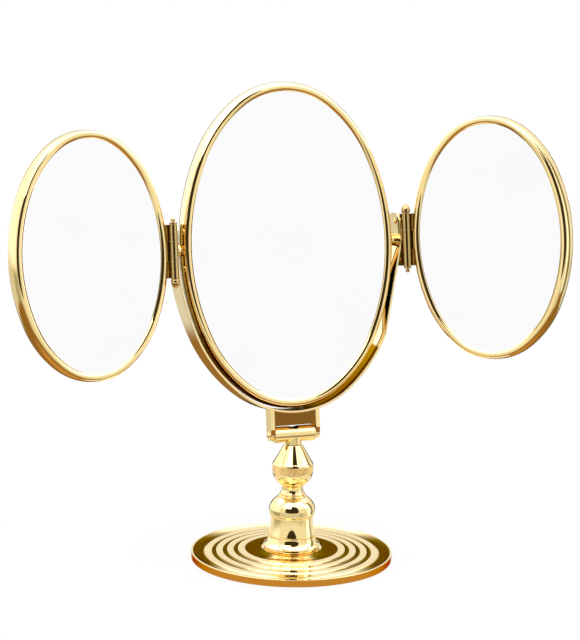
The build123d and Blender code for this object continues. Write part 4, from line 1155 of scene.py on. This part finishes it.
def make_floor():
    """Pale round floor with a faint shadow of the object, fading to plain white at its edge."""
    mesh = bpy.data.meshes.new("floor")
    turns = [tau * k / FLOOR_SIDES for k in range(FLOOR_SIDES)]
    ring = [(FLOOR_RADIUS * cos(a), FLOOR_RADIUS * sin(a), 0.0) for a in turns]
    mesh.from_pydata(ring, [], [list(range(FLOOR_SIDES))])
    floor = bpy.data.objects.new("floor", mesh)
    bpy.context.scene.collection.objects.link(floor)
    material = bpy.data.materials.new("pale_floor")
    material.use_nodes = True
    tree = material.node_tree
    tree.nodes.clear()
    sums = Sums(tree)
    plain = tree.nodes.new("ShaderNodeBsdfDiffuse")
    plain.inputs["Color"].default_value = (0.9, 0.9, 0.9, 1)
    glow = tree.nodes.new("ShaderNodeEmission")
    glow.inputs["Color"].default_value = (1, 1, 1, 1)
    rays = tree.nodes.new("ShaderNodeLightPath").outputs
    seen = sums.do("MAXIMUM", rays["Is Camera Ray"], rays["Is Glossy Ray"])
    seen = sums.do("MAXIMUM", seen, rays["Is Transmission Ray"])
    place = tree.nodes.new("ShaderNodeTexCoord").outputs["Object"]
    x, y, _ = sums.axes(place)
    outer = sums.step(from_axis(sums, x, y), FLOOR_FADE_START, FLOOR_RADIUS)
    share = sums.do("ADD", FLOOR_GLOW, sums.do("MULTIPLY", outer, 1 - FLOOR_GLOW))
    mix = tree.nodes.new("ShaderNodeMixShader")
    tree.links.new(sums.do("MULTIPLY", seen, share), mix.inputs[0])
    tree.links.new(plain.outputs[0], mix.inputs[1])
    tree.links.new(glow.outputs[0], mix.inputs[2])
    output = tree.nodes.new("ShaderNodeOutputMaterial")
    tree.links.new(mix.outputs[0], output.inputs[0])
    mesh.materials.append(material)


def make_lamp(name, place, aim, size, power):
    """Rectangular lamp that points at a place."""
    lamp = bpy.data.lights.new(name, "AREA")
    lamp.shape = "RECTANGLE"
    lamp.size, lamp.size_y = size
    lamp.energy = power
    item = bpy.data.objects.new(name, lamp)
    item.location = place
    item.rotation_euler = (Vector(aim) - Vector(place)).to_track_quat("-Z", "Y").to_euler()
    bpy.context.scene.collection.objects.link(item)


def make_camera():
    """Camera at the photograph's viewing angle."""
    lens = bpy.data.cameras.new("camera")
    lens.sensor_width = 36.0
    lens.lens = CAMERA_LENS
    lens.clip_end = 50.0
    item = bpy.data.objects.new("camera", lens)
    axes = (Vector(CAMERA_RIGHT), Vector(CAMERA_UP), -Vector(CAMERA_AHEAD))
    turn = Matrix(axes).transposed().to_4x4()
    item.matrix_world = Matrix.Translation(CAMERA_PLACE) @ turn
    bpy.context.scene.collection.objects.link(item)
    bpy.context.scene.camera = item


make_base()
make_column()
make_collar()
make_centre()
make_wing("left", -1, LEFT_WING_ANGLE)
make_wing("right", 1, RIGHT_WING_ANGLE)
make_yoke()
make_pin("left", -1)
make_pin("right", 1)
slots = {s["node"]: s["material_slot"] for s in frame["record"]["subparts"]}
for node, item in frame["nodes"].items():
    item.data.materials.clear()
    item.data.materials.append(NODE_MATERIALS.get(node, SLOT_MATERIALS[slots[node]]))
make_world()
make_floor()
make_lamp("key", (-0.9, -1.0, 1.6), aim=(0, 0, 0.25), size=(0.9, 0.9), power=8.0)
make_lamp("fill", (1.4, -0.6, 1.2), aim=(0, 0, 0.25), size=(0.8, 0.8), power=4.0)
make_camera()

bpy.context.scene.view_settings.view_transform = "Standard"
